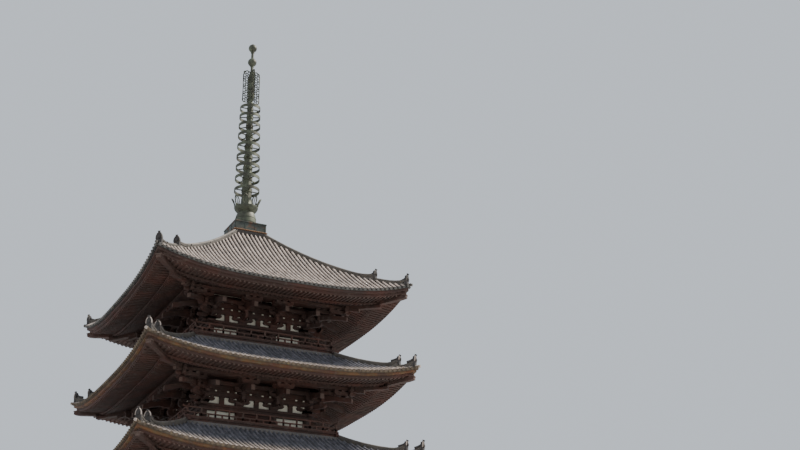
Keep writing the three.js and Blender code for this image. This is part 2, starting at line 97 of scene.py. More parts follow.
# %% [markdown]
# Sums that work on numbers and on nodes
#
# A roof's curve is needed twice: as plain numbers, to place an ornament, and as nodes, to bend ten
# thousand tiles. So that the rule is written only once, a socket is wrapped in a small class whose
# plus, times and so on make Math nodes. Python then reads the same line either way.


# %% A socket that can be used in sums
def sum_of(operation, swapped=False):
    """A method that makes a Math node out of the two sides of a sum."""

    def method(self, other):
        sides = (other, self) if swapped else (self, other)
        return self.math(operation, *sides)

    return method


class Field:
    """One socket of a node tree. A sum that is written with it becomes Math nodes."""

    def __init__(self, tree, socket):
        self.tree = tree
        self.socket = socket

    def math(self, operation, *values):
        return self.tree.add("ShaderNodeMath", *values, operation=operation)

    def output(self, name):
        """Another output of the same node."""
        return Field(self.tree, self.socket.node.outputs[name])

    def __abs__(self):
        return self.math("ABSOLUTE", self)

    __add__ = __radd__ = sum_of("ADD")
    __mul__ = __rmul__ = sum_of("MULTIPLY")
    __sub__ = sum_of("SUBTRACT")
    __rsub__ = sum_of("SUBTRACT", swapped=True)
    __truediv__ = sum_of("DIVIDE")
    __rtruediv__ = sum_of("DIVIDE", swapped=True)
    __pow__ = sum_of("POWER")
    __gt__ = sum_of("GREATER_THAN")
    __lt__ = sum_of("LESS_THAN")


def larger(number, value):
    """The larger of a number and a value, which may be a socket."""
    if isinstance(value, Field):
        return value.math("MAXIMUM", number, value)
    return max(number, value)


# %% A node tree that is built by calls
class Tree:
    """A node tree. Its add call makes a node, sets it up, links it and returns its first output."""

    def __init__(self, group):
        self.group = group

    def add(self, kind, *values, inputs=None, **settings):
        node = self.group.nodes.new(kind)
        for name, value in settings.items():
            setattr(node, name, value)
        live = [socket for socket in node.inputs if socket.enabled]
        for socket, value in zip(live, values):
            self.feed(socket, value)
        for name, value in (inputs or {}).items():
            self.feed(next(socket for socket in live if socket.name == name), value)
        return Field(self, next(socket for socket in node.outputs if socket.enabled))

    def feed(self, socket, value):
        if isinstance(value, Field):
            self.group.links.new(value.socket, socket)
        elif value is not None:
            socket.default_value = value

    def vector(self, x, y, z):
        return self.add("ShaderNodeCombineXYZ", x, y, z)

    def parts(self, vector):
        x = self.add("ShaderNodeSeparateXYZ", vector)
        return x, x.output("Y"), x.output("Z")


def title(word):
    """The name of a tree's input: clear_of_hip is shown as Clear of hip."""
    return word.replace("_", " ").capitalize()


class GeometryTree(Tree):
    """A Geometry Nodes tree that copies one piece, with named inputs."""

    def __init__(self, name):
        super().__init__(bpy.data.node_groups.new(name, "GeometryNodeTree"))
        self.group.interface.new_socket("Geometry", in_out="OUTPUT", socket_type="NodeSocketGeometry")
        self.entry = self.group.nodes.new("NodeGroupInput")
        self.exit = self.group.nodes.new("NodeGroupOutput")

    def input(self, word, kind="Float"):
        self.group.interface.new_socket(title(word), in_out="INPUT", socket_type="NodeSocket" + kind)
        return Field(self, self.entry.outputs[title(word)])

    def inputs(self, *words):
        return [self.input(word) for word in words]

    def roof(self):
        """The roof's sizes as inputs, with the same curves as the plain numbers have."""
        return Roof(**{size: self.input(size) for size in ("wall", "eave", "edge", "steep", "reach", "bow")})

    def points(self, count):
        """Loose points, with their numbers from 0 up."""
        return self.add("GeometryNodePoints", count), self.add("GeometryNodeInputIndex")

    def place(self, geometry, x, y, z):
        inputs = {"Geometry": geometry, "Position": self.vector(x, y, z)}
        return self.add("GeometryNodeSetPosition", inputs=inputs)

    def position(self):
        return self.parts(self.add("GeometryNodeInputPosition"))

    def keep(self, geometry, wanted):
        """Deletes the points where wanted is 0."""
        return self.add("GeometryNodeDeleteGeometry", geometry, 1 - wanted, domain="POINT")

    def mark(self, geometry, name, value, domain):
        """Leaves a number on each copy or point, which a finish reads."""
        inputs = {"Geometry": geometry, "Name": name, "Value": value}
        return self.add("GeometryNodeStoreNamedAttribute", inputs=inputs, data_type="FLOAT", domain=domain)

    def instances(self, points, geometry, turn, size=None):
        inputs = {"Points": points, "Instance": geometry, "Rotation": self.vector(0, 0, turn), "Scale": size}
        return self.add("GeometryNodeInstanceOnPoints", inputs=inputs)

    def copies(self, points, turn=0.0, size=None):
        """A copy of the piece on each point, each with its own random shade, made into real mesh."""
        pattern = self.add("GeometryNodeObjectInfo", self.input("piece", "Object")).output("Geometry")
        shade = self.add("FunctionNodeRandomValue", inputs={"Seed": 7}, data_type="FLOAT")
        shaded = self.mark(self.instances(points, pattern, turn, size), "shade", shade, "INSTANCE")
        return self.add("GeometryNodeRealizeInstances", shaded)

    def four_sides(self, geometry):
        """The same geometry on the front, right, back and left of the tower."""
        points, number = self.points(4)
        sides = self.instances(points, geometry, number * (math.pi / 2))
        return self.add("GeometryNodeRealizeInstances", sides)

    def finish(self, geometry):
        """Ends the tree: one material for the piece, and another for the faces marked as trim."""
        finish = self.input("finish", "Material")
        trim_finish = self.input("trim_finish", "Material")
        trim = self.add("GeometryNodeInputNamedAttribute", "trim", data_type="BOOLEAN")
        whole = self.add("GeometryNodeSetMaterial", inputs={"Geometry": geometry, "Material": finish})
        inputs = {"Geometry": whole, "Selection": trim, "Material": trim_finish}
        self.feed(self.exit.inputs["Geometry"], self.add("GeometryNodeSetMaterial", inputs=inputs))
        return self


# %% [markdown]
# The building's rule
#
# Five storeys repeat one design, each a little smaller than the one below. A handful of sizes drives
# them all: half the width of the body, half the width of the roof, and the height of the tiles' edge.
# The frame is asked whether its walls and balconies agree, so a changed model is noticed at once.

# %% Sizes of the building, in real metres
SCALE = 0.1
CLIMB_STRAIGHT = 0.61
CLIMB_HOLLOW = 0.028
CORNER_LIFT = 1.1
TOP_BOW = 0.12
LOWER_BOW = 0.2
PURLIN_OUT = 1.95
FLYING_IN = 1.62
RAFTER_TIP = -0.38
RAFTER_FALL = 0.42
FLYING_FOOT = -0.23
FASCIA_FOOT = -0.42
EDGE_IN = 0.2
FLYING_FALL = (FLYING_FOOT - FASCIA_FOOT) / (FLYING_IN - EDGE_IN)
DECK_TOP = -2.45
DECK_FOOT = -2.72
HEAD_FOOT = -1.57
PLATE_FOOT = -1.35
PLATE_TOP = -1.2
COLLAR_OUT = 1.62
COLLAR_SHOW = 0.22
TOP_RIDGE = 1.1
GROUND = 1.5
GROUND_DOOR = 3.3
NUDGE = 0.01


class Roof(SimpleNamespace):
    """The curves of one roof. Its sizes may be numbers, or the named inputs of a node tree."""

    def eave_curve(self, share):
        """The eave's height above its level: a little in the middle, and the whole lift at a corner."""
        return self.bow + (CORNER_LIFT - self.bow) * share**3

    def tile_lift(self, x, inward):
        """How far the tiles turn up. x runs along a side, inward is measured from the edge."""
        fade = larger(0, 1 - inward / self.reach)
        return self.eave_curve(abs(x) / (self.eave - inward)) * fade * fade

    def tile_climb(self, inward):
        """The tiles' height without the lift."""
        return self.edge + self.steep * (CLIMB_STRAIGHT * inward + CLIMB_HOLLOW * inward * inward)

    def tile_height(self, x, inward):
        return self.tile_climb(inward) + self.tile_lift(x, inward)

    def on_tiles(self, x, inward, above):
        """The place of a point that stands above the tiles, square to their slope."""
        height = self.tile_height(x, inward)
        across = (self.tile_height(x + NUDGE, inward) - height) / NUDGE
        along = (self.tile_height(x, inward + NUDGE) - height) / NUDGE
        shrunk = above / (across * across + along * along + 1) ** 0.5
        return x - across * shrunk, inward - along * shrunk - self.eave, height + shrunk

    def rafter_lift(self, x, out):
        """The rafters rise to the corners too, but only outside the purlin."""
        free = larger(0, out - self.wall - PURLIN_OUT) / (self.eave - self.wall - PURLIN_OUT)
        return self.eave_curve(abs(x) / out) * free

    def base_foot(self, out):
        """Underside of the lower tier of rafters, before the lift."""
        return self.edge + RAFTER_TIP + RAFTER_FALL * (self.eave - FLYING_IN - out)

    def flying_foot(self, out):
        """Underside of the upper tier, which flies out past the lower one."""
        return self.edge + FLYING_FOOT - FLYING_FALL * (out - self.eave + FLYING_IN)


# %% The five storeys
BODY = [4.35, 3.925, 3.575, 3.235, 2.975]
EAVES = [9.4, 9.05, 8.7, 8.4, 8.08]
EDGES = [8.35, 13.9, 19.26, 24.5, 29.7]
POSTS = [0.3, 0.26, 0.25, 0.24, 0.24]
# Inside these distances from the middle, tiles get the painted shadow of the roof above, partly weathering;
# the top roof has none.
SHADOW_AND_SHELTER_LINES = [7.9, 7.6, 7.3, 7.6, 0]
TOP_HIPS = SimpleNamespace(stop=1.66, sweep=0.9, horn=0.2, high=0.16, crown=0.74, wide=1.1)
LOWER_HIPS = SimpleNamespace(stop=0.9, sweep=0.65, horn=0.28, high=0.2, crown=0.8, wide=1.0)


def make_storey(i):
    top = i == len(BODY) - 1
    wall, eave, edge = BODY[i], EAVES[i], EDGES[i]
    floor, sill = (edge + DECK_TOP, 0.14) if i else (GROUND, 0.3)
    inner = TOP_RIDGE if top else BODY[i + 1] + COLLAR_OUT
    span = eave - inner
    collar = None if top else EDGES[i + 1] + DECK_FOOT
    plain = CLIMB_STRAIGHT * span + CLIMB_HOLLOW * span**2
    steep = 1 if top else (collar - COLLAR_SHOW - edge) / plain
    reach, bow = (span, TOP_BOW) if top else (1.2 * span, LOWER_BOW)
    return SimpleNamespace(
        number=i + 1, wall=wall, eave=eave, edge=edge, post=POSTS[i], bay=2 * wall / 3, inner=inner,
        span=span, collar=collar, shelter=SHADOW_AND_SHELTER_LINES[i], floor=floor, sill=floor + sill, lower=eave - FLYING_IN,
        hips=TOP_HIPS if top else LOWER_HIPS,
        roof=Roof(wall=wall, eave=eave, edge=edge, steep=steep, reach=reach, bow=bow),
    )  # fmt: skip


storeys = [make_storey(i) for i in range(len(BODY))]
for storey in storeys:
    wall_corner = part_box(f"walls_{storey.number}")[1]
    assert abs(wall_corner.x - storey.wall * SCALE) < 1e-4, "the frame's walls have moved"
    if storey.number > 1:
        deck_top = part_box(f"balcony_{storey.number}")[1].z
        assert abs(deck_top - storey.floor * SCALE) < 1e-4, "the frame's decks have moved"
print("storeys:", [(storey.number, storey.wall, storey.eave) for storey in storeys])

# %% [markdown]
# Closed pieces from rings of points
#
# Most carpentry is a row of cross sections joined by faces: a beam has two, a bearing block three, a
# bent rail six. One small class gathers such pieces. A few faces can be marked as trim, which is how
# the pale ends of rafters and arms get their own finish.


# %% Outlines
UP = Vector((0, 0, 1))
CORNER_CROWD = 0.75


def circle(radius, sides, start=0.0):
    angles = [start + 2 * math.pi * i / sides for i in range(sides)]
    return [(radius * math.cos(a), radius * math.sin(a)) for a in angles]


def half_circle(radius, steps):
    return circle(radius, 2 * steps)[: steps + 1]


def rectangle(x0, x1, y0, y1):
    return [(x0, y0), (x1, y0), (x1, y1), (x0, y1)]


# %% A gatherer of closed pieces
class Shape:
    """Closed pieces in real metres, which become one mesh."""

    def __init__(self):
        self.points = []
        self.faces = []
        self.trim = []

    def skin(self, rings, closed=False):
        """Faces from each ring to the next one, and from the last to the first if closed."""
        base, count, around = len(self.points), len(rings[0]), len(rings)
        self.points += [Vector(point) for ring in rings for point in ring]
        for i in range(around if closed else around - 1):
            here, there = base + i * count, base + (i + 1) % around * count
            for j in range(count):
                k = (j + 1) % count
                self.faces.append([here + j, here + k, there + k, there + j])
                self.trim.append(False)
        return self

    def loft(self, rings, pale_ends=()):
        """Joins rings of equally many points and closes both ends. pale_ends names ends 0 and 1."""
        first, count = len(self.points), len(rings[0])
        self.skin(rings)
        last = len(self.points) - count
        self.faces += [list(range(first, first + count))[::-1], list(range(last, last + count))]
        self.trim += [0 in pale_ends, 1 in pale_ends]
        return self

    def stacked(self, *levels):
        """Joins outlines of [x, y], each given with its height."""
        return self.loft([[(x, y, z) for x, y in outline] for z, outline in levels])

    def drawn_out(self, *sections, pale_ends=()):
        """Joins outlines of [x, z], each given with its y."""
        return self.loft([[(x, y, z) for x, z in outline] for y, outline in sections], pale_ends)

    def block(self, low, high):
        base = rectangle(low[0], high[0], low[1], high[1])
        return self.stacked((low[2], base), (high[2], base))

    def plate(self, outline, half, angle=0.0, origin=(0, 0), shift=0.0, pale_edge=None):
        """An upright plate: outline is [distance along a ray, height], half its half thickness."""
        ray = Vector((math.cos(angle), math.sin(angle), 0))
        across = Vector((-ray.y, ray.x, 0))
        first, rings = len(self.faces), []
        for side in (shift - half, shift + half):
            rings.append([Vector((*origin, 0)) + ray * out + across * side + UP * z for out, z in outline])
        self.loft(rings)
        if pale_edge is not None:
            self.trim[first + pale_edge] = True
        return self

    def turned(self, profile, sides, start=0.0):
        """A profile of [distance out, height] turned round the tower's axis."""
        return self.stacked(*[(z, circle(out, sides, start)) for out, z in profile])

    def tube(self, path, radius, sides=8, closed=False):
        """A round bar that follows a path, or a closed loop of points."""
        radii = radius if isinstance(radius, list) else [radius] * len(path)
        start = 0.0 if closed else math.pi / sides
        rings, last = [], len(path) - 1
        for i, (point, size) in enumerate(zip(path, radii)):
            before = path[i - 1] if closed or i > 0 else point
            after = path[(i + 1) % len(path)] if closed or i < last else point
            ahead = (Vector(after) - Vector(before)).normalized()
            side = ahead.cross(UP)
            side = side.normalized() if side.length > 1e-3 else Vector((0, 1, 0))
            up = side.cross(ahead)
            rings.append([Vector(point) + side * a + up * b for a, b in circle(size, sides, start)])
        return self.skin(rings, closed=True) if closed else self.loft(rings)

    def belt(self, outline, steps=1, lift=None):
        """Carries [distance out, height] round the four sides. lift(x, out) is added to each height."""
        rings = []
        for side in range(4):
            turn = Matrix.Rotation(side * math.pi / 2, 3, "Z")
            for i in range(steps):
                t = 2 * i / steps - 1
                u = math.copysign(abs(t) ** CORNER_CROWD, t)
                raised = [(out, z + lift(u * out, out) if lift else z) for out, z in outline]
                rings.append([turn @ Vector((u * out, -out, z)) for out, z in raised])
        return self.skin(rings, closed=True)

    def square_belt(self, inner, outer, low, high, steps=1, lift=None):
        return self.belt(rectangle(inner, outer, low, high), steps, lift)

    def crossed_ends(self, line, back, front, past, low, high):
        """The ends of beams that meet on a line and run past it, crossing at each corner."""
        corner = Shape().block((line, -line - front, low), (line + past, -line + back, high))
        corner.block((line - back, -line - past, low), (line + front, -line, high))
        return self.join(corner.on_four_sides())

    def join(self, other, place=Matrix.Identity(4)):
        """Adds a copy of another shape, moved by a matrix."""
        base = len(self.points)
        self.points += [place @ point for point in other.points]
        self.faces += [[base + i for i in face] for face in other.faces]
        self.trim += other.trim
        return self

    def on_four_sides(self):
        whole = Shape()
        for quarter in range(4):
            whole.join(self, Matrix.Rotation(quarter * math.pi / 2, 4, "Z"))
        return whole

    def mesh(self, name):
        """The mesh, with its faces turned outwards."""
        mesh = bpy.data.meshes.new(name)
        mesh.from_pydata(self.points, [], self.faces)
        mesh.attributes.new("trim", "BOOLEAN", "FACE").data.foreach_set("value", self.trim)
        turned = bmesh.new()
        turned.from_mesh(mesh)
        bmesh.ops.recalc_face_normals(turned, faces=turned.faces)
        turned.to_mesh(mesh)
        turned.free()
        return mesh


# %% From mesh to finished piece
SMOOTH_BELOW = math.radians(38)
triangle_counts = []


def in_scene(name, data):
    """A new object, linked to the scene."""
    thing = bpy.data.objects.new(name, data)
    bpy.context.scene.collection.objects.link(thing)
    return thing


def smooth(mesh):
    """Soft shading on gentle bends, and crisp edges on sharp ones."""
    mesh.shade_smooth()
    mesh.set_sharp_from_angle(angle=SMOOTH_BELOW)


def finished(name, mesh, finish, nodes):
    """Shrinks a mesh to the model's scale and gives it to the frame, in place of any nodes named."""
    mesh.transform(Matrix.Scale(SCALE, 4))
    mesh.name = name
    smooth(mesh)
    piece = in_scene(name, mesh)
    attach(piece, "root")
    if nodes:
        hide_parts(*nodes)
    mesh.calc_loop_triangles()
    triangle_counts.append(len(mesh.loop_triangles))
    print(f"{name}: {triangle_counts[-1]} triangles")


def piece_from(name, shape, finish, trim_finish=None, nodes=()):
    """A finished piece straight from a shape."""
    mesh = shape.mesh(name)
    mesh.materials.append(finish)
    if trim_finish:
        mesh.materials.append(trim_finish)
        mesh.polygons.foreach_set("material_index", [int(is_trim) for is_trim in shape.trim])
    finished(name, mesh, finish, nodes)


def grow(name, tree, shape, finish, trim_finish=None, nodes=(), **values):
    """Runs a tree on a shape with its inputs set, and keeps the result as a plain mesh."""
    pattern = in_scene(name + "_pattern", shape.mesh(name + "_pattern"))
    smooth(pattern.data)
    seed = in_scene(name + "_seed", bpy.data.meshes.new(name + "_seed"))
    rule = seed.modifiers.new("Rule", "NODES")
    rule.node_group = tree.group
    sockets = {item.name: item.identifier for item in tree.group.interface.items_tree}
    values |= {"piece": pattern, "finish": finish, "trim_finish": trim_finish or finish}
    for word, value in values.items():
        rule[sockets[title(word)]] = value
    graph = bpy.context.evaluated_depsgraph_get()
    mesh = bpy.data.meshes.new_from_object(seed.evaluated_get(graph), depsgraph=graph)
    seed.modifiers.remove(rule)
    for helper in (seed, pattern):
        bpy.data.objects.remove(helper)
    finished(name, mesh, finish, nodes)


# %% [markdown]
# The camera stands where the photographer stood
#
# It looks up from eye height at some eighty metres, so only the top of the tower is in the picture.
# The three turns were found by fitting the corners of the roofs, and they hold for the small model
# as they do for the real tower, because a view keeps its angles when everything shrinks alike.

# %% Camera
VIEW = SimpleNamespace(distance=81.3, bearing=19.31, turn=7.11, rise=23.34, roll=-0.39, eye=1.6, lens=60.8)


def aim_camera(view):
    bearing, rise, roll = (math.radians(angle) for angle in (view.bearing, view.rise, view.roll))
    heading = math.atan2(math.cos(bearing), math.sin(bearing)) - math.radians(view.turn)
    ahead = Vector((math.cos(heading) * math.cos(rise), math.sin(heading) * math.cos(rise), math.sin(rise)))
    right = Vector((math.sin(heading), -math.cos(heading), 0))
    up = right.cross(ahead)
    side = right * math.cos(roll) + up * math.sin(roll)
    top = up * math.cos(roll) - right * math.sin(roll)
    camera = in_scene("camera", bpy.data.cameras.new("camera"))
    camera.data.lens = view.lens
    camera.data.sensor_width = 36
    camera.data.clip_start = 0.01
    place = Vector((-math.sin(bearing) * view.distance, -math.cos(bearing) * view.distance, view.eye)) * SCALE
    camera.matrix_world = Matrix.Translation(place) @ Matrix((side, top, -ahead)).transposed().to_4x4()
    bpy.context.scene.camera = camera
    print("camera at", [round(v, 3) for v in place])


aim_camera(VIEW)

# %% [markdown]
# Finishes
#
# Every finish is a small recipe of noises. They read Object coordinates, so a pattern keeps its size
# on all pieces and stays put when the piece is seen from another side. Scales are per metre of the
# model: a noise of 300 makes marks of about three millimetres, which are three centimetres on the
# real tower.


# %% Helpers for finishes
class Finish(Tree):
    """A material that is built by calls, with object coordinates at hand."""

    def __init__(self, name, slot=None):
        self.material = bpy.data.materials.new(name)
        self.material.use_nodes = True
        super().__init__(self.material.node_tree)
        self.surface = self.group.nodes["Principled BSDF"]
        self.here = self.add("ShaderNodeTexCoord").output("Object")

    def noise(self, scale, detail=4.0, at=None, roughness=0.55):
        inputs = {"Vector": at or self.here, "Scale": scale, "Detail": detail, "Roughness": roughness}
        return self.add("ShaderNodeTexNoise", inputs=inputs)

    def ramp(self, value, low, high):
        """0 below low, 1 above high, and an even slope between them."""
        inputs = {"Value": value, "From Min": low, "From Max": high}
        return self.add("ShaderNodeMapRange", inputs=inputs)

    def mix(self, share, first, second):
        colours = [c if isinstance(c, Field) else (*c, 1.0) for c in (first, second)]
        inputs = {"Factor": share, "A": colours[0], "B": colours[1]}
        return self.add("ShaderNodeMix", inputs=inputs, data_type="RGBA")

    def attribute(self, name):
        return self.add("ShaderNodeAttribute", attribute_name=name).output("Fac")

    def paint(self, colour, roughness, bump=None, depth=0.001, metal=0.0):
        self.feed(self.surface.inputs["Base Color"], colour)
        self.feed(self.surface.inputs["Roughness"], roughness)
        self.feed(self.surface.inputs["Metallic"], metal)
        if bump is not None:
            inputs = {"Height": bump, "Strength": 0.6, "Distance": depth}
            self.feed(self.surface.inputs["Normal"], self.add("ShaderNodeBump", inputs=inputs))
        return self.material


# %% [markdown]
# Old timber
#
# The frame, brackets and rafters were once painted red, and five centuries have left them deep brown
# with a trace of that red. Grain runs along a member, so the noise is stretched that way. A beam on
# the front runs along X and one on the side along Y: comparing the two coordinates tells which side
# of the tower a point is on, and the recipe swaps them there.


# %% Timber
def timber(name, run, dark, light, red=0.35, lichen=0.0):
    """run is the way the members lie: along a wall, out from it, or up."""
    wood = Finish(name, "timber")
    x, y, z = wood.parts(wood.here)
    on_side = abs(x) > abs(y)
    along = x + on_side * (y - x)
    out = y + on_side * (x - y)
    across = 26.0
    stretched = {
        "along": wood.vector(along, out * across, z * across),
        "out": wood.vector(along * across, out, z * across),
        "up": wood.vector(along * across, out * across, z),
    }[run]
    grain = wood.noise(9.0, 5.0, stretched, 0.65)
    patches = wood.noise(7.0, 3.0)
    worn = wood.noise(38.0, 4.0)
    base = wood.mix(wood.ramp(grain, 0.32, 0.7), dark, light)
    reddish = tuple(channel * factor for channel, factor in zip(light, (1.9, 0.95, 0.75)))
    tinted = wood.mix(wood.ramp(patches, 0.45, 0.7) * red, base, reddish)
    greyed = wood.mix(wood.ramp(worn, 0.55, 0.8) * 0.5, tinted, (0.16, 0.13, 0.105))
    crust = wood.mix(wood.ramp(worn, 0.4, 0.6), (0.3, 0.12, 0.03), (0.2, 0.15, 0.05))
    overgrown = wood.mix(wood.ramp(wood.noise(16.0, 4.0), 0.42, 0.6) * lichen, greyed, crust)
    return wood.paint(overgrown, 0.78, grain, 0.0012)


DARK_WOOD = (0.035, 0.019, 0.0145)
LIGHT_WOOD = (0.083, 0.045, 0.033)
beam_wood = timber("beam_timber", "along", DARK_WOOD, LIGHT_WOOD)
arm_wood = timber("arm_timber", "out", DARK_WOOD, LIGHT_WOOD)
post_wood = timber("post_timber", "up", DARK_WOOD, LIGHT_WOOD, red=0.55)
rail_wood = timber("rail_timber", "along", (0.055, 0.031, 0.023), (0.13, 0.07, 0.051), red=0.3)
board_wood = timber("board_timber", "out", (0.04, 0.02, 0.015), (0.085, 0.044, 0.032), red=0.3)
fascia_wood = timber("fascia_timber", "along", (0.05, 0.026, 0.018), (0.12, 0.066, 0.04), red=0.4, lichen=0.4)
end_wood = timber("end_grain", "out", (0.075, 0.045, 0.034), (0.15, 0.098, 0.075), red=0.1)

# %% [markdown]
# Fired clay
#
# The tiles were fired grey. Rain and sun bleach those that lie open and lichen spots them. The ones
# under the roof above are painted dark and bluish, covers and pans nearly alike: partly weathering,
# partly painted shadow of the roof above. The node tree that lays the tiles leaves two marks on them:
# a random shade for each tile, and how deep it lies in that painted shadow and shelter. The recipe
# reads both.


# %% Tiles
def clay(name, dark, light, sheltered, lichen=0.5):
    tile = Finish(name, "roof_tile")
    shade = tile.attribute("shade")
    cover = tile.attribute("sheltered")
    cloud = tile.noise(11.0, 4.0)
    speck = tile.noise(260.0, 3.0)
    spots = tile.noise(46.0, 5.0, roughness=0.7)
    tone = shade * 0.55 + tile.ramp(cloud, 0.3, 0.7) * 0.45
    open_tile = tile.mix(tone, dark, light)
    crust = tile.mix(tile.ramp(speck, 0.4, 0.6), (0.3, 0.17, 0.06), (0.2, 0.2, 0.1))
    grown = tile.mix(tile.ramp(spots, 0.58, 0.7) * lichen, open_tile, crust)
    # Painted shadow of the roof above, partly weathering: marked tiles turn dark and bluish, covers and pans
    # nearly alike.
    shadow_and_shelter_tone = tile.mix(shade * 0.8, sheltered, tuple(2.1 * channel for channel in sheltered))
    return tile.paint(tile.mix(cover, grown, shadow_and_shelter_tone), 0.72, speck + spots, 0.0008)


# Covers and pans are one clay. The pans are painted far darker: painted shade between the raised covers,
# partly dirt.
cover_clay = clay("cover_tile", (0.36, 0.295, 0.25), (0.8, 0.665, 0.57), (0.13, 0.125, 0.135), 0.15)
pan_clay = clay("pan_tile", (0.016, 0.012, 0.01), (0.04, 0.03, 0.024), (0.09, 0.09, 0.105), 0.1)
# The edge clay is dark for the top roof's end discs and bed: painted shade along its eave line, with lichen.
edge_clay = clay("edge_tile", (0.06, 0.06, 0.055), (0.2, 0.185, 0.165), (0.05, 0.05, 0.05), 0.6)
brown_clay = clay("brown_edge_tile", (0.07, 0.052, 0.036), (0.22, 0.162, 0.105), (0.06, 0.045, 0.035), 0.8)
ridge_clay = clay("ridge_tile", (0.09, 0.08, 0.068), (0.25, 0.215, 0.18), (0.09, 0.088, 0.085))
collar_clay = clay("collar_tile", (0.12, 0.108, 0.098), (0.26, 0.235, 0.21), (0.09, 0.086, 0.08), 0.2)
ornament_clay = clay("ornament_tile", (0.035, 0.03, 0.028), (0.11, 0.096, 0.088), (0.03, 0.03, 0.03), 0.25)


# %% Plaster, stone and bronze
def plaster():
    coat = Finish("lime_plaster", "plaster")
    stain = coat.ramp(coat.noise(9.0, 5.0), 0.35, 0.75)
    colour = coat.mix(stain, (0.9, 0.85, 0.7), (0.78, 0.71, 0.56))
    return coat.paint(colour, 0.88, coat.noise(90.0, 3.0), 0.0006)


def granite():
    rock = Finish("dressed_granite", "stone")
    grit = rock.noise(420.0, 3.0)
    tone = rock.attribute("shade") * 0.6 + rock.ramp(rock.noise(8.0, 4.0), 0.3, 0.7) * 0.4
    base = rock.mix(tone, (0.3, 0.28, 0.25), (0.5, 0.47, 0.42))
    speckled = rock.mix(rock.ramp(grit, 0.56, 0.68) * 0.6, base, (0.12, 0.11, 0.1))
    moss = rock.ramp(rock.noise(20.0, 5.0), 0.6, 0.75) * 0.5
    return rock.paint(rock.mix(moss, speckled, (0.17, 0.18, 0.11)), 0.85, grit, 0.0008)


def bronze(name, metal_colour, patina, rust=0.0, slot="bronze"):
    cast = Finish(name, slot)
    bloom = cast.noise(16.0, 5.0, roughness=0.65)
    x, y, z = cast.parts(cast.here)
    runs = cast.noise(30.0, 4.0, cast.vector(x * 4, y * 4, z * 0.6))
    green = cast.mix(cast.ramp(bloom, 0.38, 0.66), metal_colour, patina)
    stained = cast.mix(cast.ramp(runs, 0.5, 0.72) * 0.55, green, (0.05, 0.05, 0.042))
    rusty = cast.mix(cast.ramp(cast.noise(24.0, 4.0), 0.5, 0.68) * rust, stained, (0.2, 0.075, 0.03))
    return cast.paint(rusty, 0.55, bloom, 0.0006, metal=0.35)


lime = plaster()
stone = granite()
patina_bronze = bronze("patina_bronze", (0.055, 0.052, 0.036), (0.14, 0.155, 0.1))
basin_bronze = bronze("basin_bronze", (0.04, 0.045, 0.038), (0.085, 0.1, 0.083), rust=0.6)
rusty_bronze = bronze("rusty_bronze", (0.2, 0.1, 0.05), (0.3, 0.17, 0.09), rust=0.5)
iron = bronze("dark_iron", (0.03, 0.028, 0.026), (0.06, 0.055, 0.05), slot="timber")

# %% [markdown]
# Tiles, laid flat and then bent
#
# A tiled roof has two kinds of tile: broad pans, hollow upwards, that overlap like scales, and round
# covers over the joints between them, in straight rows from the eave to the ridge. Placing each on
# the curve would need its slope and twist. It is easier to lay the whole sheet out flat, with its
# heights measured from the roof, and then to move every point on to the curve in one step.

# %% Pattern tiles
COVER_PITCH = 0.29
COVER_LONG = 0.4
COVER_RADIUS = 0.057
PAN_LONG = 0.34
COVERS_IN = 0.06
PANS_IN = 0.16
TILE_THICK = 0.025
LAP = 0.03
SHADOW_AND_SHELTER_FADE = 0.3


def cover_tile():
    """Each cover is a little wider at its lower end, so it laps over the next."""
    sections = []
    for y, radius in ((COVERS_IN, COVER_RADIUS), (COVERS_IN + COVER_LONG + LAP, COVER_RADIUS * 0.86)):
        arch = [(x, z + 0.02) for x, z in half_circle(radius, 5)]
        sections.append((y, [(radius, -0.02), *arch, (-radius, -0.02)]))
    return Shape().drawn_out(*sections)


def pan_tile():
    """The pans start a little further in than the covers, so the covers stand out like teeth."""
    half, sections = COVER_PITCH / 2, []
    for y, lift in ((PANS_IN, TILE_THICK), (PANS_IN + PAN_LONG + LAP, 0.0)):
        hollow = [(-half, 0.045 + lift), (0, lift), (half, 0.045 + lift)]
        sections.append((y, [*hollow, (half, -0.02), (-half, -0.02)]))
    return Shape().drawn_out(*sections)


def end_disc():
    """The round end of a row of covers, with a raised boss."""
    disc = Shape()
    for radius, y0, y1, sides in ((0.085, 0.05, 0.12, 12), (0.05, 0.038, 0.06, 6)):
        face = [(x, z + 0.02) for x, z in circle(radius, sides, math.pi / sides)]
        disc.drawn_out((y0, face), (y1, face))
    return disc


def end_pan():
    """The bent lip that closes a pan at the eave."""
    half = COVER_PITCH / 2
    curve = [(-half, 0.05), (0, 0.01), (half, 0.05)]
    foot = [(half, 0.0), (0.4 * half, -0.045), (-0.4 * half, -0.045), (-half, 0.0)]
    return Shape().drawn_out((PANS_IN - 0.03, curve + foot), (PANS_IN + 0.04, curve + foot))


# %% The tree that lays a roof
def tile_tree():
    """Rows of one tile up a roof's four slopes, cut off at the hips, with the lowest at the eave."""
    tree = GeometryTree("tile_rows")
    roof = tree.roof()
    span, shelter, clear, above = tree.inputs("span", "sheltered_inside", "clear_of_hip", "above")
    rows, pitch, start, courses, step = tree.inputs("rows", "pitch", "first_row", "courses", "course")
    points, number = tree.points(rows * courses)
    course = number.math("FLOOR", (number + 0.5) / rows)
    flat = tree.place(points, start + (number - course * rows) * pitch, course * step, 0)
    x, inward, _ = tree.position()
    inside = (roof.eave - inward - abs(x)) > clear
    laid = tree.copies(tree.keep(flat, inside * (inward < span)))
    x, inward, height = tree.position()
    bent = tree.place(laid, *roof.on_tiles(x, inward, height + above))
    # Tiles inside the line get the mark for the painted shadow of the roof above, partly weathering.
    in_shadow_and_shelter = larger(0, (shelter - abs(tree.position()[1])) / SHADOW_AND_SHELTER_FADE)
    marked = tree.mark(bent, "sheltered", in_shadow_and_shelter.math("MINIMUM", in_shadow_and_shelter, 1), "POINT")
    return tree.finish(tree.four_sides(marked))


tile_rows = tile_tree()


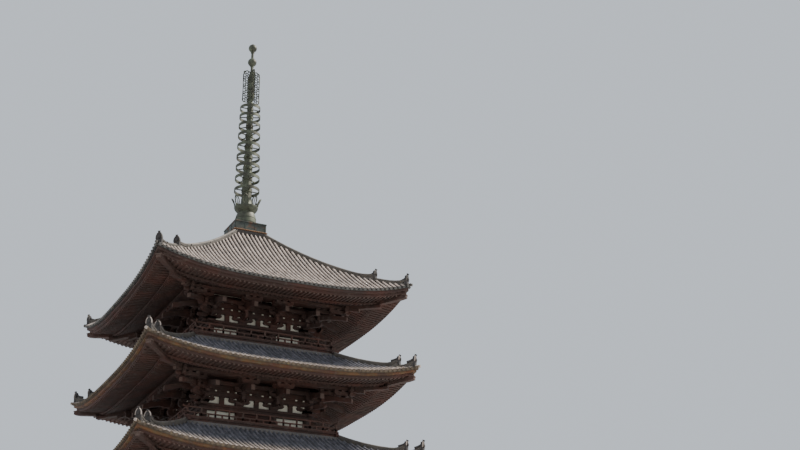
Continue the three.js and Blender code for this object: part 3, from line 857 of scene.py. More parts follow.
def lay_tiles(storey, name, tile, finish, between, long=None, above=0.0):
    """Rows of a tile up a roof, or a single course if no length is given. between is 1 for the
    rows that lie between the covers."""
    span = storey.span + 0.1
    half_rows = round(storey.eave / COVER_PITCH)
    pitch = storey.eave / half_rows
    rows = 2 * half_rows - 1 + between
    grow(
        f"{name}_{storey.number}", tile_rows, tile, finish, **vars(storey.roof),
        span=span, sheltered_inside=storey.shelter, clear_of_hip=0.36 if long else 0.12, above=above,
        rows=rows, pitch=pitch, first_row=-pitch * (rows - 1) / 2,
        courses=math.ceil(span / long) if long else 1, course=long or 1.0,
    )  # fmt: skip


for storey in storeys:
    # The top roof's eave line gets dark discs and lips: painted shade, with lichen on the discs.
    discs, lips = (brown_clay, brown_clay) if storey.collar else (edge_clay, pan_clay)
    lay_tiles(storey, "cover_tiles", cover_tile(), cover_clay, 0, COVER_LONG, 0.03)
    lay_tiles(storey, "pan_tiles", pan_tile(), pan_clay, 1, PAN_LONG, -0.01)
    lay_tiles(storey, "end_discs", end_disc(), discs, 0)
    lay_tiles(storey, "end_lips", end_pan(), lips, 1)

# %% [markdown]
# Bands that run round the tower
#
# Under the tiles lie things that go all the way round: the clay bed, boards, edge beams and collars.
# Each is one outline carried round the four sides. The outline may change on the way, which is how
# an edge beam swings up to the corners.

# %% The bed under the tiles, and the collar that the storey above stands on
EDGE_STEPS = 16
BED_UNDER = 0.03
BED_THICK = 0.09
BED_SLICES = 8
COLLAR_COURSES = 4


def tile_bed(storey):
    """A smooth bed that follows the tiles' curve, so no light falls between them."""
    roof = storey.roof
    far = storey.span + (0.1 if storey.collar else 0.16)
    slices = [PANS_IN, *[far * i / BED_SLICES for i in range(1, BED_SLICES + 1)]]
    surface = [(roof.eave - inward, roof.tile_climb(inward) - BED_UNDER) for inward in slices]
    under = [(out, z - BED_THICK) for out, z in reversed(surface)]
    return Shape().belt(surface + under, EDGE_STEPS, lambda x, out: roof.tile_lift(x, roof.eave - out))


def collar(storey):
    """Thin courses of flat tile, each set back a little from the one below."""
    shape, inner = Shape(), storey.inner
    foot = storey.collar - COLLAR_SHOW - 0.08
    high = (storey.collar - foot) / COLLAR_COURSES
    for course in range(COLLAR_COURSES):
        out, z = inner + 0.05 - 0.03 * course, foot + course * high
        shape.square_belt(inner - 0.4, out, z + 0.012, z + high)
        shape.square_belt(inner - 0.42, out - 0.04, z - 0.004, z + 0.016)
    return shape


for storey in storeys:
    piece_from(f"tile_bed_{storey.number}", tile_bed(storey), brown_clay if storey.collar else edge_clay)
    if storey.collar:
        piece_from(f"roof_collar_{storey.number}", collar(storey), collar_clay)

# %% [markdown]
# Hip ridges
#
# Where two slopes meet, the joint is built up from courses of flat tile with a row of round ones on
# top. A high ridge comes down to a stop, and a low one carries on to the corner. Both sweep up over
# their last stretch, to an upright ornament with the end of a round tile above it.

# %% Courses along a hip
HIP_TIP = 0.2
LOW_RIDGE = 0.1
RIDGE_COURSE = 0.06
HIP_TILE = 0.25
ROOT = math.sqrt(2)
SLANT = -math.pi / 4
OUTWARD = -math.pi / 2
DIAGONAL = Vector((1, -1, 0)) / ROOT
ACROSS = Vector((1, 1, 0)) / ROOT


def upsweep(out, end, sweep, horn):
    """How far a ridge has swept up at a place near its end."""
    near = larger(0, 1 - (end - out) / sweep)
    return horn * near * near


def ridges(storey):
    """Where the high and the low ridge of a hip start and end, and how high their courses are."""
    start = storey.inner - 0.1 if storey.collar else 1.0
    stop, tip = storey.eave - storey.hips.stop - 0.1, storey.eave - HIP_TIP - 0.1
    return ("high", start, stop, storey.hips.high), ("low", stop, tip, LOW_RIDGE)


def on_hip(roof, out, above, across=0.0):
    """A point over the front right hip: out is measured square to the front, above from the tiles."""
    return Vector((out, -out, roof.tile_height(out, roof.eave - out) + above)) + ACROSS * across


def course(shape, storey, start, stop, half, low, high, steps=14):
    """One course, which sweeps up with the ridge. A foot below the tiles stays where it is."""
    rings = []
    for i in range(steps + 1):
        out = start + (stop - start) * i / steps
        rise = upsweep(out, stop, storey.hips.sweep, storey.hips.horn)
        outline = rectangle(-half, half, low if low < 0 else low + rise, high + rise)
        rings.append([on_hip(storey.roof, out, above, across) for across, above in outline])
    return shape.loft(rings)


def ridge_courses(storey):
    corner = Shape()
    for _, first, last, top in ridges(storey):
        course(corner, storey, first, last, 0.15, -0.15, top)
        for i in range(round(top / RIDGE_COURSE)):
            high = top - i * RIDGE_COURSE
            course(corner, storey, first, last, 0.164 + 0.012 * i, high - 0.035, high)
    return corner.on_four_sides()


def upright(shape, foot, outline, *stops):
    """An outline of [distance across, height] as a plate that stands across the hip."""
    places = [foot + DIAGONAL * along for along in stops]
    return shape.loft([[place + ACROSS * a + UP * z for a, z in outline] for place in places])


def gable(rise, wide):
    """The outline of an upright end tile, as [distance across, height]."""
    half = [(-0.16, -0.3), (-0.18, 0.0), (-0.16, 0.4 * rise), (-0.11, 0.66 * rise), (-0.05, 0.78 * rise)]
    return [(a * wide, z) for a, z in half] + [(-a * wide, z) for a, z in reversed(half)]


def ornament(shape, foot, rise, wide):
    """The upright end tile, with a round face, and the horn of round tile above it."""
    upright(shape, foot, gable(rise, wide), -0.1, 0.05)
    for radius, back, front in ((0.11, 0.04, 0.09), (0.075, 0.08, 0.12)):
        upright(shape, foot, [(a, z + 0.2 * rise) for a, z in circle(radius * wide, 12)], back, front)
    arch = [(-0.5, 0.0), (-0.3, 0.12), (-0.14, 0.3), (-0.02, 0.58), (0.04, 0.85), (0.07, 1.0)]
    path = [foot + DIAGONAL * along + UP * (share * rise) for along, share in arch]
    shape.tube(path, [0.095, 0.09, 0.08, 0.07, 0.066, 0.085])


def ornament_places(storey):
    """The foot of each ridge's ornament, and how far it rises."""
    for _, _, last, top in ridges(storey):
        above = top + storey.hips.horn - 0.02
        yield on_hip(storey.roof, last + 0.03, above), storey.hips.crown - above


def hip_ornaments(storey):
    corner = Shape()
    for foot, rise in ornament_places(storey):
        ornament(corner, foot, rise, storey.hips.wide)
    return corner.on_four_sides()


def highlit_weathered_rims(storey):
    """The pale lips round the upright tiles, a painted highlight along their edges that is partly
    weathering, and the last round tile, which juts out at the corner.
    """
    corner = Shape()
    for foot, rise in ornament_places(storey):
        outline = gable(rise, storey.hips.wide)[1:-1]
        corner.tube([foot + DIAGONAL * 0.04 + ACROSS * a + UP * z for a, z in outline], 0.032, 6)
    path = [on_hip(storey.roof, storey.eave - inward, 0.05) for inward in (0.45, 0.3, 0.15, 0.03)]
    return corner.tube(path, 0.085).on_four_sides()


# %% The round tiles on top of a hip
def hip_tree():
    """One row of tiles that follows the front right hip, and its copies on the other three."""
    tree = GeometryTree("hip_tiles")
    roof = tree.roof()
    start, step, count, above, sweep, horn = tree.inputs("start", "step", "count", "above", "sweep", "horn")
    points, number = tree.points(count)
    laid = tree.copies(tree.place(points, 0, number * step, 0))
    across, along, height = tree.position()
    out = start + along
    side = across / ROOT
    surface = roof.tile_height(out, roof.eave - out) + upsweep(out, start + step * count, sweep, horn)
    bent = tree.place(laid, out + side, side - out, surface + height + above)
    return tree.finish(tree.four_sides(bent))


hip_rows = hip_tree()
hip_cover = Shape().drawn_out((0.0, half_circle(0.094, 6)), (0.27, half_circle(0.089, 6)))
for storey in storeys:
    n, hips = storey.number, storey.hips
    for name, first, last, top in ridges(storey):
        count = round((last - first) / HIP_TILE)
        grow(
            f"hip_tiles_{name}_{n}", hip_rows, hip_cover, ridge_clay, **vars(storey.roof),
            start=first, step=(last - first) / count, count=count, above=top,
            sweep=hips.sweep, horn=hips.horn,
        )  # fmt: skip
    piece_from(f"ridge_courses_{n}", ridge_courses(storey), ridge_clay)
    # The rims paint a highlight on the ornaments' edges: pale on the lower roofs, darker on the top one.
    piece_from(f"ornament_rims_{n}", highlit_weathered_rims(storey), cover_clay if storey.collar else ridge_clay)
    piece_from(f"hip_ornaments_{n}", hip_ornaments(storey), ornament_clay, nodes=[f"roof_{n}"])

# %% [markdown]
# Two tiers of rafters
#
# The wide eaves rest on two tiers of rafters, all at right angles to the wall. The lower tier starts
# at the wall, and the upper one flies out past it. A unit rafter is copied once for each place and
# stretched to its own length, because those near a corner are cut short by the hip rafter.

# %% The tree that sets out rafters
RAFTER_PITCH = 0.27
BASE_RAFTER = (0.06, 0.15)
FLYING_RAFTER = (0.055, 0.13)
BASE_SHOWS = 0.06
FLYING_SHOWS = 0.055
RAFTER_END_IN = 0.42
SHORTEST_RAFTER = 0.2


def rafter_tree():
    """One tier on all four sides. Near a corner each rafter starts at the hip rafter."""
    tree = GeometryTree("rafter_rows")
    roof = tree.roof()
    count, pitch, inner, outer = tree.inputs("count", "pitch", "inner_end", "outer_end")
    tip, fall = tree.inputs("height_of_tip", "fall")
    points, number = tree.points(count)
    x = (number - (count - 1) / 2) * pitch
    row = tree.place(points, x, larger(inner, abs(x) + 0.14), 0)
    length = outer - tree.position()[1]
    laid = tree.copies(tree.keep(row, length > SHORTEST_RAFTER), size=tree.vector(1, length, 1))
    x, out, height = tree.position()
    foot = tip + fall * (outer - out)
    bent = tree.place(laid, x, -1 * out, foot + roof.rafter_lift(x, out) + height)
    return tree.finish(tree.four_sides(bent))


def unit_rafter(half, high, slices=4):
    """One metre long, to be stretched. Its outer end is pale."""
    section = rectangle(-half, half, 0, high)
    return Shape().drawn_out(*[(i / slices, section) for i in range(slices + 1)], pale_ends=(1,))


rafter_rows = rafter_tree()
for storey in storeys:
    roof, lower, tip_out = storey.roof, storey.lower, storey.eave - RAFTER_END_IN
    tiers = (
        ("base", BASE_RAFTER, storey.wall, lower, roof.base_foot(lower), RAFTER_FALL, board_wood),
        ("flying", FLYING_RAFTER, lower - 0.35, tip_out, roof.flying_foot(tip_out), FLYING_FALL, end_wood),
    )
    for name, size, inner, outer, tip, fall, end_finish in tiers:
        grow(
            f"{name}_rafters_{storey.number}", rafter_rows, unit_rafter(*size), arm_wood, end_finish,
            **vars(roof), count=2 * math.floor(outer / RAFTER_PITCH), pitch=RAFTER_PITCH,
            inner_end=inner, outer_end=outer, height_of_tip=tip, fall=fall,
        )  # fmt: skip


# %% Boards and edge beams over the rafters, and the hip rafters
def eave_boards(storey):
    """The boards over the lower tier, and those over the upper one."""
    roof, shape = storey.roof, Shape()
    purlin, lower, eave = storey.wall + PURLIN_OUT, storey.lower, storey.eave
    layers = (
        (roof.base_foot, BASE_SHOWS, 0.1, (storey.wall - 0.1, purlin, (purlin + lower) / 2, lower + 0.1)),
        (roof.flying_foot, FLYING_SHOWS, 0.09, (lower - 0.25, (lower + eave) / 2, eave - 0.5)),
    )
    for foot, shows, thick, stations in layers:
        under = [(out, foot(out) + shows) for out in stations]
        over = [(out, z + thick) for out, z in reversed(under)]
        shape.belt(over + under, EDGE_STEPS, roof.rafter_lift)
    return shape


def edge_beams(storey):
    """The curved beams over the ends of the lower tier and of the upper one."""
    lower, eave, edge, lift = storey.lower, storey.eave, storey.edge, storey.roof.rafter_lift
    shape = Shape().square_belt(lower - 0.16, lower + 0.03, edge - 0.3, edge - 0.1, EDGE_STEPS, lift)
    return shape.square_belt(eave - 0.72, eave - 0.36, edge - 0.32, edge - 0.15, EDGE_STEPS, lift)


def eave_fascia(storey):
    """The narrow board that carries the first tiles."""
    eave, edge, lift = storey.eave, storey.edge, storey.roof.rafter_lift
    return Shape().square_belt(eave - 0.6, eave - 0.2, edge - 0.17, edge, EDGE_STEPS, lift)


def hip_rafters(storey):
    """The lower and the upper corner rafter. The upper one has a pale end."""
    roof, corner, lower, eave = storey.roof, Shape(), storey.lower, storey.eave

    def at(out, z):
        return out * ROOT, z + roof.rafter_lift(out, out)

    outs = [storey.wall + 0.3, storey.wall + PURLIN_OUT, lower - 0.5, lower + 0.16]
    foot = [at(out, roof.base_foot(out) - 0.24) for out in outs]
    top = [at(out, roof.base_foot(out) + 0.1) for out in reversed(outs)]
    corner.plate(foot + top, 0.16, SLANT)
    outs = [lower - 0.3, lower + 0.5, eave - 0.55, eave - 0.3]
    foot = [at(out, storey.edge + z) for out, z in zip(outs, (-0.42, -0.52, -0.62, -0.63))]
    top = [at(out, storey.edge + z) for out, z in zip(reversed(outs), (-0.44, -0.38, -0.22, -0.1))]
    return corner.plate(foot + top, 0.16, SLANT, pale_edge=3).on_four_sides()


def rafter_caps(storey):
    """The weathered cap over the end of each corner rafter."""
    tip = storey.eave - 0.3
    z = storey.edge + storey.roof.rafter_lift(tip, tip)
    back, front = tip * ROOT - 0.32, tip * ROOT + 0.03
    outline = [(back, z - 0.45), (front, z - 0.47), (front, z - 0.41), (back, z - 0.38)]
    return Shape().plate(outline, 0.18, SLANT).on_four_sides()


for storey in storeys:
    n = storey.number
    piece_from(f"rafter_caps_{n}", rafter_caps(storey), end_wood)
    piece_from(f"eave_boards_{n}", eave_boards(storey), board_wood)
    piece_from(f"edge_beams_{n}", edge_beams(storey), board_wood)
    piece_from(f"eave_fascia_{n}", eave_fascia(storey), fascia_wood if storey.collar else beam_wood)
    piece_from(f"hip_rafters_{n}", hip_rafters(storey), arm_wood, end_wood, [f"eaves_{n}"])

# %% [markdown]
# Bracket sets
#
# The eaves' weight comes down to the posts through sets of arms and bearing blocks, each step
# reaching further out: three steps in all, and the last is carried by a long sloping tail whose pale
# end shows in every picture of such a tower. One set is made here, with its post at the origin, and a
# tree copies it along the walls. The corner's set has arms in both directions and on the diagonal.

# %% Arms and blocks
BLOCK_HALF = 0.13
ARM_HALF = 0.09
STEP = 0.65
ARM_STEPS = ((STEP, -0.45), (2 * STEP, -0.13), (3 * STEP, -0.24))
SIDES_SWAPPED = Matrix(((0, -1, 0, 0), (-1, 0, 0, 0), (0, 0, 1, 0), (0, 0, 0, 1)))


def bearing_block(shape, x, out, low, high, half=BLOCK_HALF):
    """A block whose lower half narrows to its seat."""
    levels = ((low, 0.66 * half), (low + 0.45 * (high - low), half), (high, half))
    return shape.stacked(*[(z, rectangle(x - w, x + w, -out - w, -out + w)) for z, w in levels])


def arm_end(tip, low, high, sign=1):
    """The end of an arm's outline, rounded up from its underside. sign is -1 for a left end."""
    bend = [(tip - sign * 0.2, low), (tip - sign * 0.07, low + 0.15 * (high - low))]
    return [*bend, (tip, low + 0.5 * (high - low)), (tip, high)]


def cross_arm(shape, x0, x1, out, low, high):
    """An arm along the wall, rounded up at both ends."""
    outline = arm_end(x0, low, high, -1)[::-1] + arm_end(x1, low, high)
    return shape.plate(outline, ARM_HALF, origin=(0, -out))


def out_arm(shape, stop, low, high, half=ARM_HALF, angle=OUTWARD, start=-0.1):
    """An arm that points out from the wall, rounded up at its end."""
    return shape.plate([(start, high), (start, low), *arm_end(stop, low, high)], half, angle)


def tail(shape, stop, foot, deep, half, angle=OUTWARD, fall=0.3, start=0.1):
    """The sloping arm, with a pale end."""
    rise = fall * (stop - start)
    outline = [(start, foot + rise), (stop, foot), (stop, foot + deep), (start, foot + deep + rise)]
    return shape.plate(outline, half, angle, pale_edge=1)


def bracket_set():
    arms = Shape()
    bearing_block(arms, 0, 0.0, -1.2, -0.96, 0.27)
    cross_arm(arms, -0.66, 0.66, 0.09, -0.98, -0.82)
    out_arm(arms, 0.87, -0.96, -0.61)
    out_arm(arms, 1.5, -0.45, -0.21)
    for x in (-0.5, 0, 0.5):
        bearing_block(arms, x, 0.09, -0.82, -0.7)
    for step, low in ARM_STEPS:
        wide = 0.55 if step > STEP else 0.52
        cross_arm(arms, -wide, wide, step, low, low + 0.2)
        for x in (-wide + 0.11, 0, wide - 0.11):
            bearing_block(arms, x, step, low + 0.2, low + 0.3)
    bearing_block(arms, 0, STEP, -0.61, -0.45)
    bearing_block(arms, 0, 3 * STEP, -0.36, -0.22)
    return tail(arms, 2.42, -0.73, 0.3, 0.12)


def corner_set():
    half_set = Shape()
    bearing_block(half_set, 0, 0.0, -1.2, -0.96, 0.27)
    cross_arm(half_set, -0.66, 0.87, 0.0, -0.98, -0.78)
    tail(half_set, 2.42, -0.73, 0.3, 0.12)
    cross_arm(half_set, -0.3, 1.5, 0.0, -0.45, -0.21)
    for x, low in ((-0.5, -0.78), (0, -0.78), (0.65, -0.61)):
        bearing_block(half_set, x, 0.0, low, low + 0.16)
    for step, low in ARM_STEPS:
        cross_arm(half_set, step - 1.0, step + 0.4, step, low, low + 0.2)
        for x in (step - 0.88, step - 0.42, step, step + 0.28):
            bearing_block(half_set, x, step, low + 0.2, low + 0.3)
    whole = Shape().join(half_set).join(half_set, SIDES_SWAPPED)
    out_arm(whole, 0.9 * ROOT, -0.85, -0.61, 0.1, SLANT)
    out_arm(whole, 1.5 * ROOT, -0.45, -0.21, 0.1, SLANT)
    tail(whole, 2.085 * ROOT, -0.69, 0.26, 0.11, SLANT, 0.3 / ROOT, 0.3)
    tail(whole, 2.645 * ROOT, -0.2, 0.26, 0.11, SLANT, 0.3 / ROOT, 0.3)
    for step, low in ((STEP, -0.61), (2 * STEP, -0.21)):
        bearing_block(whole, step, step, low, low + 0.16)
    return whole


def bay_strut():
    """The short post in the middle of a bay, on the plate."""
    strut = Shape().block((-0.135, -0.16, -1.2), (0.135, 0.0, -0.82))
    return bearing_block(strut, 0, 0.08, -0.82, -0.7, 0.16)


# %% The tree that repeats a piece along the four sides
def side_tree():
    tree = GeometryTree("along_the_sides")
    count, step, beside, out, height = tree.inputs("count", "step", "beside", "out", "height")
    points, number = tree.points(count)
    row = tree.place(points, beside + (number - (count - 1) / 2) * step, -1 * out, height)
    return tree.finish(tree.four_sides(tree.copies(row)))


side_rows = side_tree()


def repeat(name, shape, count, step, out, height, *finishes, beside=0.0):
    """Copies of a shape in a row on every side, a step apart. beside moves the row along the side."""
    grow(name, side_rows, shape, *finishes, count=count, step=step, beside=beside, out=out, height=height)


# %% Beams that tie the sets together
WALL_BEAMS = ((-0.7, -0.42), (-0.28, 0.0), (0.12, 0.4))
CHINKS = ((-0.76, (0.22,)), (-0.35, (0.22, 0.7)), (0.06, (0.22, 0.7)))


def tie_beams(storey):
    shape, wall, edge = Shape(), storey.wall, storey.edge
    for low, high in WALL_BEAMS:
        shape.square_belt(wall, wall + 0.16, edge + low, edge + high)
    seat = storey.roof.base_foot(wall + PURLIN_OUT + 0.1) - edge
    rings = ((STEP, 0.08, -0.15, 0.07), (2 * STEP, 0.08, 0.17, 0.37), (PURLIN_OUT, 0.1, 0.06, seat))
    for step, half, low, high in rings:
        line = wall + step
        shape.square_belt(line - half, line + half, edge + low, edge + high)
        shape.crossed_ends(line, half, half, 0.45, edge + low, edge + high)
    return shape


def eave_ceilings(storey):
    """Boards that close the spaces between the steps, and those between the upper wall beams."""
    shape, wall, edge = Shape(), storey.wall, storey.edge
    shape.square_belt(wall + 0.005, wall + 0.05, edge - 0.7, edge + 0.5)
    for inner, outer, low in ((0.1, STEP, 0.04), (STEP, 2 * STEP, 0.3), (2 * STEP, PURLIN_OUT, 0.16)):
        shape.square_belt(wall + inner, wall + outer, edge + low, edge + low + 0.03)
    return shape


def plaster_chinks(storey):
    """Between the beams and the small blocks, a little of the plaster shows beside each post."""
    side, wall, bay = Shape(), storey.wall, storey.bay
    for height, beside in CHINKS:
        z = storey.edge + height
        for post in (-wall, -bay / 2, bay / 2, wall):
            for x in [post + sign * along for along in beside for sign in (-1, 1)]:
                if abs(x) < wall - 0.1:
                    side.block((x - 0.055, -wall - 0.1, z - 0.04), (x + 0.055, -wall - 0.02, z + 0.04))
    return side.on_four_sides()


for storey in storeys:
    n, wall, edge, bay = storey.number, storey.wall, storey.edge, storey.bay
    repeat(f"bracket_sets_{n}", bracket_set(), 2, bay, wall, edge, arm_wood, end_wood)
    repeat(f"corner_sets_{n}", corner_set(), 1, 0.0, wall, edge, arm_wood, end_wood, beside=wall)
    repeat(f"bay_struts_{n}", bay_strut(), 3, bay, wall, edge, post_wood)
    piece_from(f"tie_beams_{n}", tie_beams(storey), beam_wood, nodes=[f"brackets_{n}", f"purlin_{n}"])
    piece_from(f"eave_ceilings_{n}", eave_ceilings(storey), board_wood)
    piece_from(f"plaster_chinks_{n}", plaster_chinks(storey), lime)

# %% [markdown]
# Posts, beams and plastered walls
#
# Each side has three bays between round posts. Flat beams clasp the posts at the sill and at the
# head, a wide plate lies on top, and its ends cross at the corners. The walls between are lime
# plaster, so the frame's own wall solids stay and only get that finish.

# %% The timber frame
POST_SIDES = 14
DOOR_SHARE = 0.36
BOARD_JOINT = 0.004


def round_post(storey):
    foot, top, radius = storey.floor, storey.edge + HEAD_FOOT + 0.02, storey.post
    return Shape().turned([(radius, foot), (radius, top - 0.5), (0.94 * radius, top)], POST_SIDES)


def frame_beams(storey):
    """Beams that clasp the posts, one more over the ground floor's doors, and the plate on top."""
    shape, edge, wall, out = Shape(), storey.edge, storey.wall, storey.wall + storey.post
    clasping = [(storey.floor + 0.005, storey.sill), (edge + HEAD_FOOT, edge + PLATE_FOOT)]
    if storey.number == 1:
        clasping.append((storey.sill + GROUND_DOOR, storey.sill + GROUND_DOOR + 0.3))
    for low, high in clasping:
        shape.square_belt(wall + 0.02, out + 0.02, low, high)
    shape.square_belt(wall + 0.01, out + 0.11, edge + PLATE_FOOT, edge + PLATE_TOP)
    return shape.crossed_ends(out, 0.3, 0.11, 0.32, edge + PLATE_FOOT + 0.01, edge + PLATE_TOP - 0.01)


def board_row(shape, count, x0, x1, y0, y1, low, high):
    """Upright boards side by side."""
    wide = (x1 - x0) / count
    for i in range(count):
        left = x0 + i * wide
        shape.block((left + BOARD_JOINT, y0, low), (left + wide - BOARD_JOINT, y1, high))


def door_case(storey):
    """Jambs and, on the upper storeys, a pair of shut board doors with battens."""
    side, half, foot, face = Shape(), DOOR_SHARE * storey.bay, storey.sill, -storey.wall - 0.005
    top = foot + GROUND_DOOR if storey.number == 1 else storey.edge + HEAD_FOOT
    for x in (-half - 0.12, half):
        side.block((x, face - 0.12, foot - 0.02), (x + 0.12, face, top + 0.02))
    if storey.number > 1:
        for x0, x1 in ((-half, -0.006), (0.006, half)):
            board_row(side, 3, x0, x1, face - 0.075, face - 0.015, foot, top)
            for z in (foot + 0.04, top - 0.16):
                side.block((x0 + 0.01, face - 0.1, z), (x1 - 0.01, face - 0.06, z + 0.11))
    return side.on_four_sides()


for storey in storeys:
    n, bay = storey.number, storey.bay
    repeat(f"posts_{n}", round_post(storey), 3, bay, storey.wall, 0.0, post_wood, beside=bay / 2)
    piece_from(f"frame_beams_{n}", frame_beams(storey), beam_wood, nodes=[f"frame_{n}"])
    piece_from(f"door_cases_{n}", door_case(storey), post_wood)
    for slot in frame["nodes"][f"walls_{n}"].material_slots:
        slot.material = lime

# %% [markdown]
# Ground floor doors
#
# The picture shows nothing of the ground floor, so its doors follow the usual pattern: two heavy
# board leaves, with battens across and rows of domed iron studs. The studs repeat, so a tree sets
# them out.

# %% Door leaves and studs
LEAF_FOOT = GROUND + 0.31
LEAF_TOP = LEAF_FOOT + 3.28
BATTENS = (LEAF_FOOT + 0.02, LEAF_FOOT + 0.9, LEAF_FOOT + 1.75, LEAF_TOP - 0.2)
STUD_PITCH = 0.205


def ground_doors(storey):
    leaves, half, face = Shape(), DOOR_SHARE * storey.bay - 0.01, -storey.wall
    board_row(leaves, 8, -half, half, face - 0.02, face + 0.05, LEAF_FOOT, LEAF_TOP)
    for a, b in ((0.005 - half, -0.012), (0.012, half - 0.005)):
        for z in BATTENS:
            back, front = rectangle(a, b, z, z + 0.18), rectangle(a, b, z + 0.015, z + 0.165)
            leaves.drawn_out((face - 0.015, back), (face - 0.05, front))
    return leaves.on_four_sides()


ground = storeys[0]
door_nodes = ["door_front", "door_right", "door_back", "door_left"]
piece_from("ground_doors", ground_doors(ground), post_wood, nodes=door_nodes)
stud = Shape().drawn_out((0.02, circle(0.035, 6)), (0.0, circle(0.035, 6)), (-0.012, circle(0.02, 6)))
for row, batten in enumerate(BATTENS):
    repeat(f"door_studs_{row}", stud, 10, STUD_PITCH, ground.wall + 0.05, batten + 0.09, iron)

# %% [markdown]
# Balconies
#
# Every upper storey stands in a railed balcony. Its floor boards run outwards, and the edge beams'
# ends cross at the corners. The rails do the same, and the top one, which is round, sweeps up a
# little at its tip.

# %% Decks and railings
DECK_OUT = 1.5
DECK_BOARD = 0.3
RAIL_OUT = 1.36
RAIL_PITCH = 0.43
JOINT = 0.006


def deck_beams(storey):
    shape, wall = Shape(), storey.wall
    foot, top, line = storey.edge + DECK_FOOT, storey.floor - 0.1, storey.wall + 1.34
    shape.square_belt(wall - 0.15, wall + 0.25, foot, top)
    shape.square_belt(line - 0.09, line + 0.08, foot, top)
    return shape.crossed_ends(line, 0.09, 0.08, 0.36, foot + 0.01, top - 0.02)


def deck_boards(storey):
    """Boards square to each wall. Those near a corner start at the diagonal."""
    side, reach = Shape(), storey.wall + DECK_OUT
    count = round(2 * reach / DECK_BOARD)
    half = reach / count
    for i in range(count):
        x = (2 * i - count + 1) * half
        start = max(storey.wall - 0.2, abs(x))
        low = (x - half + JOINT, -reach, storey.floor - 0.1)
        side.block(low, (x + half - JOINT, -start + 0.02, storey.floor - 0.002))
    return side.on_four_sides()


def rail_post(high):
    return Shape().block((-0.045, -0.04, 0.0), (0.045, 0.04, high))


def railing(storey):
    """A round top rail that turns up at its tips, and two square ones under it."""
    side, line = Shape(), storey.wall + RAIL_OUT
    reach = line + 0.12
    end = reach + 0.06
    tip = [(reach, 0.0), (reach + 0.07, 0.02), (reach + 0.16, 0.08)]
    path = [(-x, z) for x, z in reversed(tip)] + tip
    side.tube([(x, -line, storey.edge - 1.86 + z) for x, z in path], 0.048)
    middle, foot = storey.edge - 2.17, storey.floor + 0.045
    side.block((-end, -line - 0.035, middle - 0.035), (end, -line + 0.035, middle + 0.035))
    side.block((-end, -line - 0.05, foot - 0.04), (end, -line + 0.05, foot + 0.05))
    return side.on_four_sides()


for storey in storeys[1:]:
    n, line, floor = storey.number, storey.wall + RAIL_OUT, storey.floor
    piece_from(f"deck_boards_{n}", deck_boards(storey), arm_wood)
    piece_from(f"deck_beams_{n}", deck_beams(storey), beam_wood, nodes=[f"balcony_{n}"])
    piece_from(f"rails_{n}", railing(storey), rail_wood, nodes=[f"railing_{n}"])
    count = 2 * round(line / RAIL_PITCH)
    step = 2 * line / count
    repeat(f"low_rail_posts_{n}", rail_post(0.28), count, step, line, floor, rail_wood, beside=step / 2)
    repeat(f"high_rail_posts_{n}", rail_post(0.56), count // 2, 2 * step, line, floor, rail_wood, beside=step)

# %% [markdown]
# The podium and its stairs
#
# These lie outside the picture too. A podium for such a tower is built of dressed granite: a base
# course, upright panels between short posts, and a wide cap course, with a flight of steps on every
# side. Each stone is its own block with softened edges, so the joints show.

# %% Stones
PODIUM_HALF = 7.0
COURSE_STEP = PODIUM_HALF / 5
PANEL_STEP = 2 * (PODIUM_HALF - 0.27) / 9
CORNER_STONE = PODIUM_HALF - 0.694
STAIR_STEPS = 7
STAIR_RUN = 0.32
STAIR_HALF = 1.5
# The names keep their endings, because the part's table already knows the rows by them.
PODIUM_ROWS = (
    ("base_stones.001", 1.4, 0.7, 0.245, 9, COURSE_STEP, PODIUM_HALF, 0.0),
    ("panel_stones.001", 1.18, 0.3, 0.99, 9, PANEL_STEP, PODIUM_HALF - 0.19, 0.25),
    ("panel_posts.001", 0.24, 0.34, 0.99, 10, PANEL_STEP, PODIUM_HALF - 0.15, 0.25),
    ("cap_stones.001", 1.4, 0.7, 0.255, 9, COURSE_STEP, PODIUM_HALF, 1.245),
)


def stone_block(shape, low, high, soft=0.02):
    """A block whose top and bottom edges are cut back."""
    (x0, y0, z0), (x1, y1, z1) = low, high
    whole = rectangle(x0, x1, y0, y1)
    cut = rectangle(x0 + soft, x1 - soft, y0 + soft, y1 - soft)
    return shape.stacked((z0, cut), (z0 + soft, whole), (z1 - soft, whole), (z1, cut))


def stair_flight():
    """Two stones to a step, between sloping cheeks."""
    flight, near, rise = Shape(), PODIUM_HALF + 0.003, GROUND / STAIR_STEPS
    for step in range(STAIR_STEPS):
        out = near + (STAIR_STEPS - step) * STAIR_RUN
        for x in (-STAIR_HALF, 0.0):
            low = (x + JOINT, -out, step * rise + 0.003)
            stone_block(flight, low, (x + STAIR_HALF - JOINT, -near + 0.002, (step + 1) * rise), 0.015)
    far = near + STAIR_STEPS * STAIR_RUN + 0.19
    cheek = [(near, 0), (far, 0), (far, 0.26), (near, 1.67)]
    cap = [(near, 1.55), (far - 0.02, 0.14), (far - 0.02, 0.2), (near, 1.62)]
    for shift in (-1.7, 1.7):
        flight.plate(cheek, 0.2, OUTWARD, shift=shift)
        flight.plate(cap, 0.212, OUTWARD, shift=shift)
    return flight.on_four_sides()


for name, wide, deep, high, count, step, out, z in PODIUM_ROWS:
    block = stone_block(Shape(), (-wide / 2 + JOINT, 0, 0), (wide / 2 - JOINT, deep, high))
    repeat(name, block, count, step, out, z, stone)

corner_stones = Shape()
for low, high in ((0.0, 0.245), (1.245, GROUND)):
    stone_block(corner_stones, (CORNER_STONE, CORNER_STONE, low), (PODIUM_HALF, PODIUM_HALF, high))
paving = corner_stones.on_four_sides()
for x in range(-6, 7):
    for y in range(-6, 7):
        stone_block(paving, (x - 0.494, y - 0.494, 1.3), (x + 0.494, y + 0.494, 1.497), 0.012)
paving.square_belt(0.2, PODIUM_HALF - 0.3, 0.2, 1.4)
piece_from("podium_paving", paving, stone, nodes=["podium"])
stair_nodes = ["stairs_front", "stairs_right", "stairs_back", "stairs_left"]
piece_from("stair_stones", stair_flight(), stone, nodes=stair_nodes)

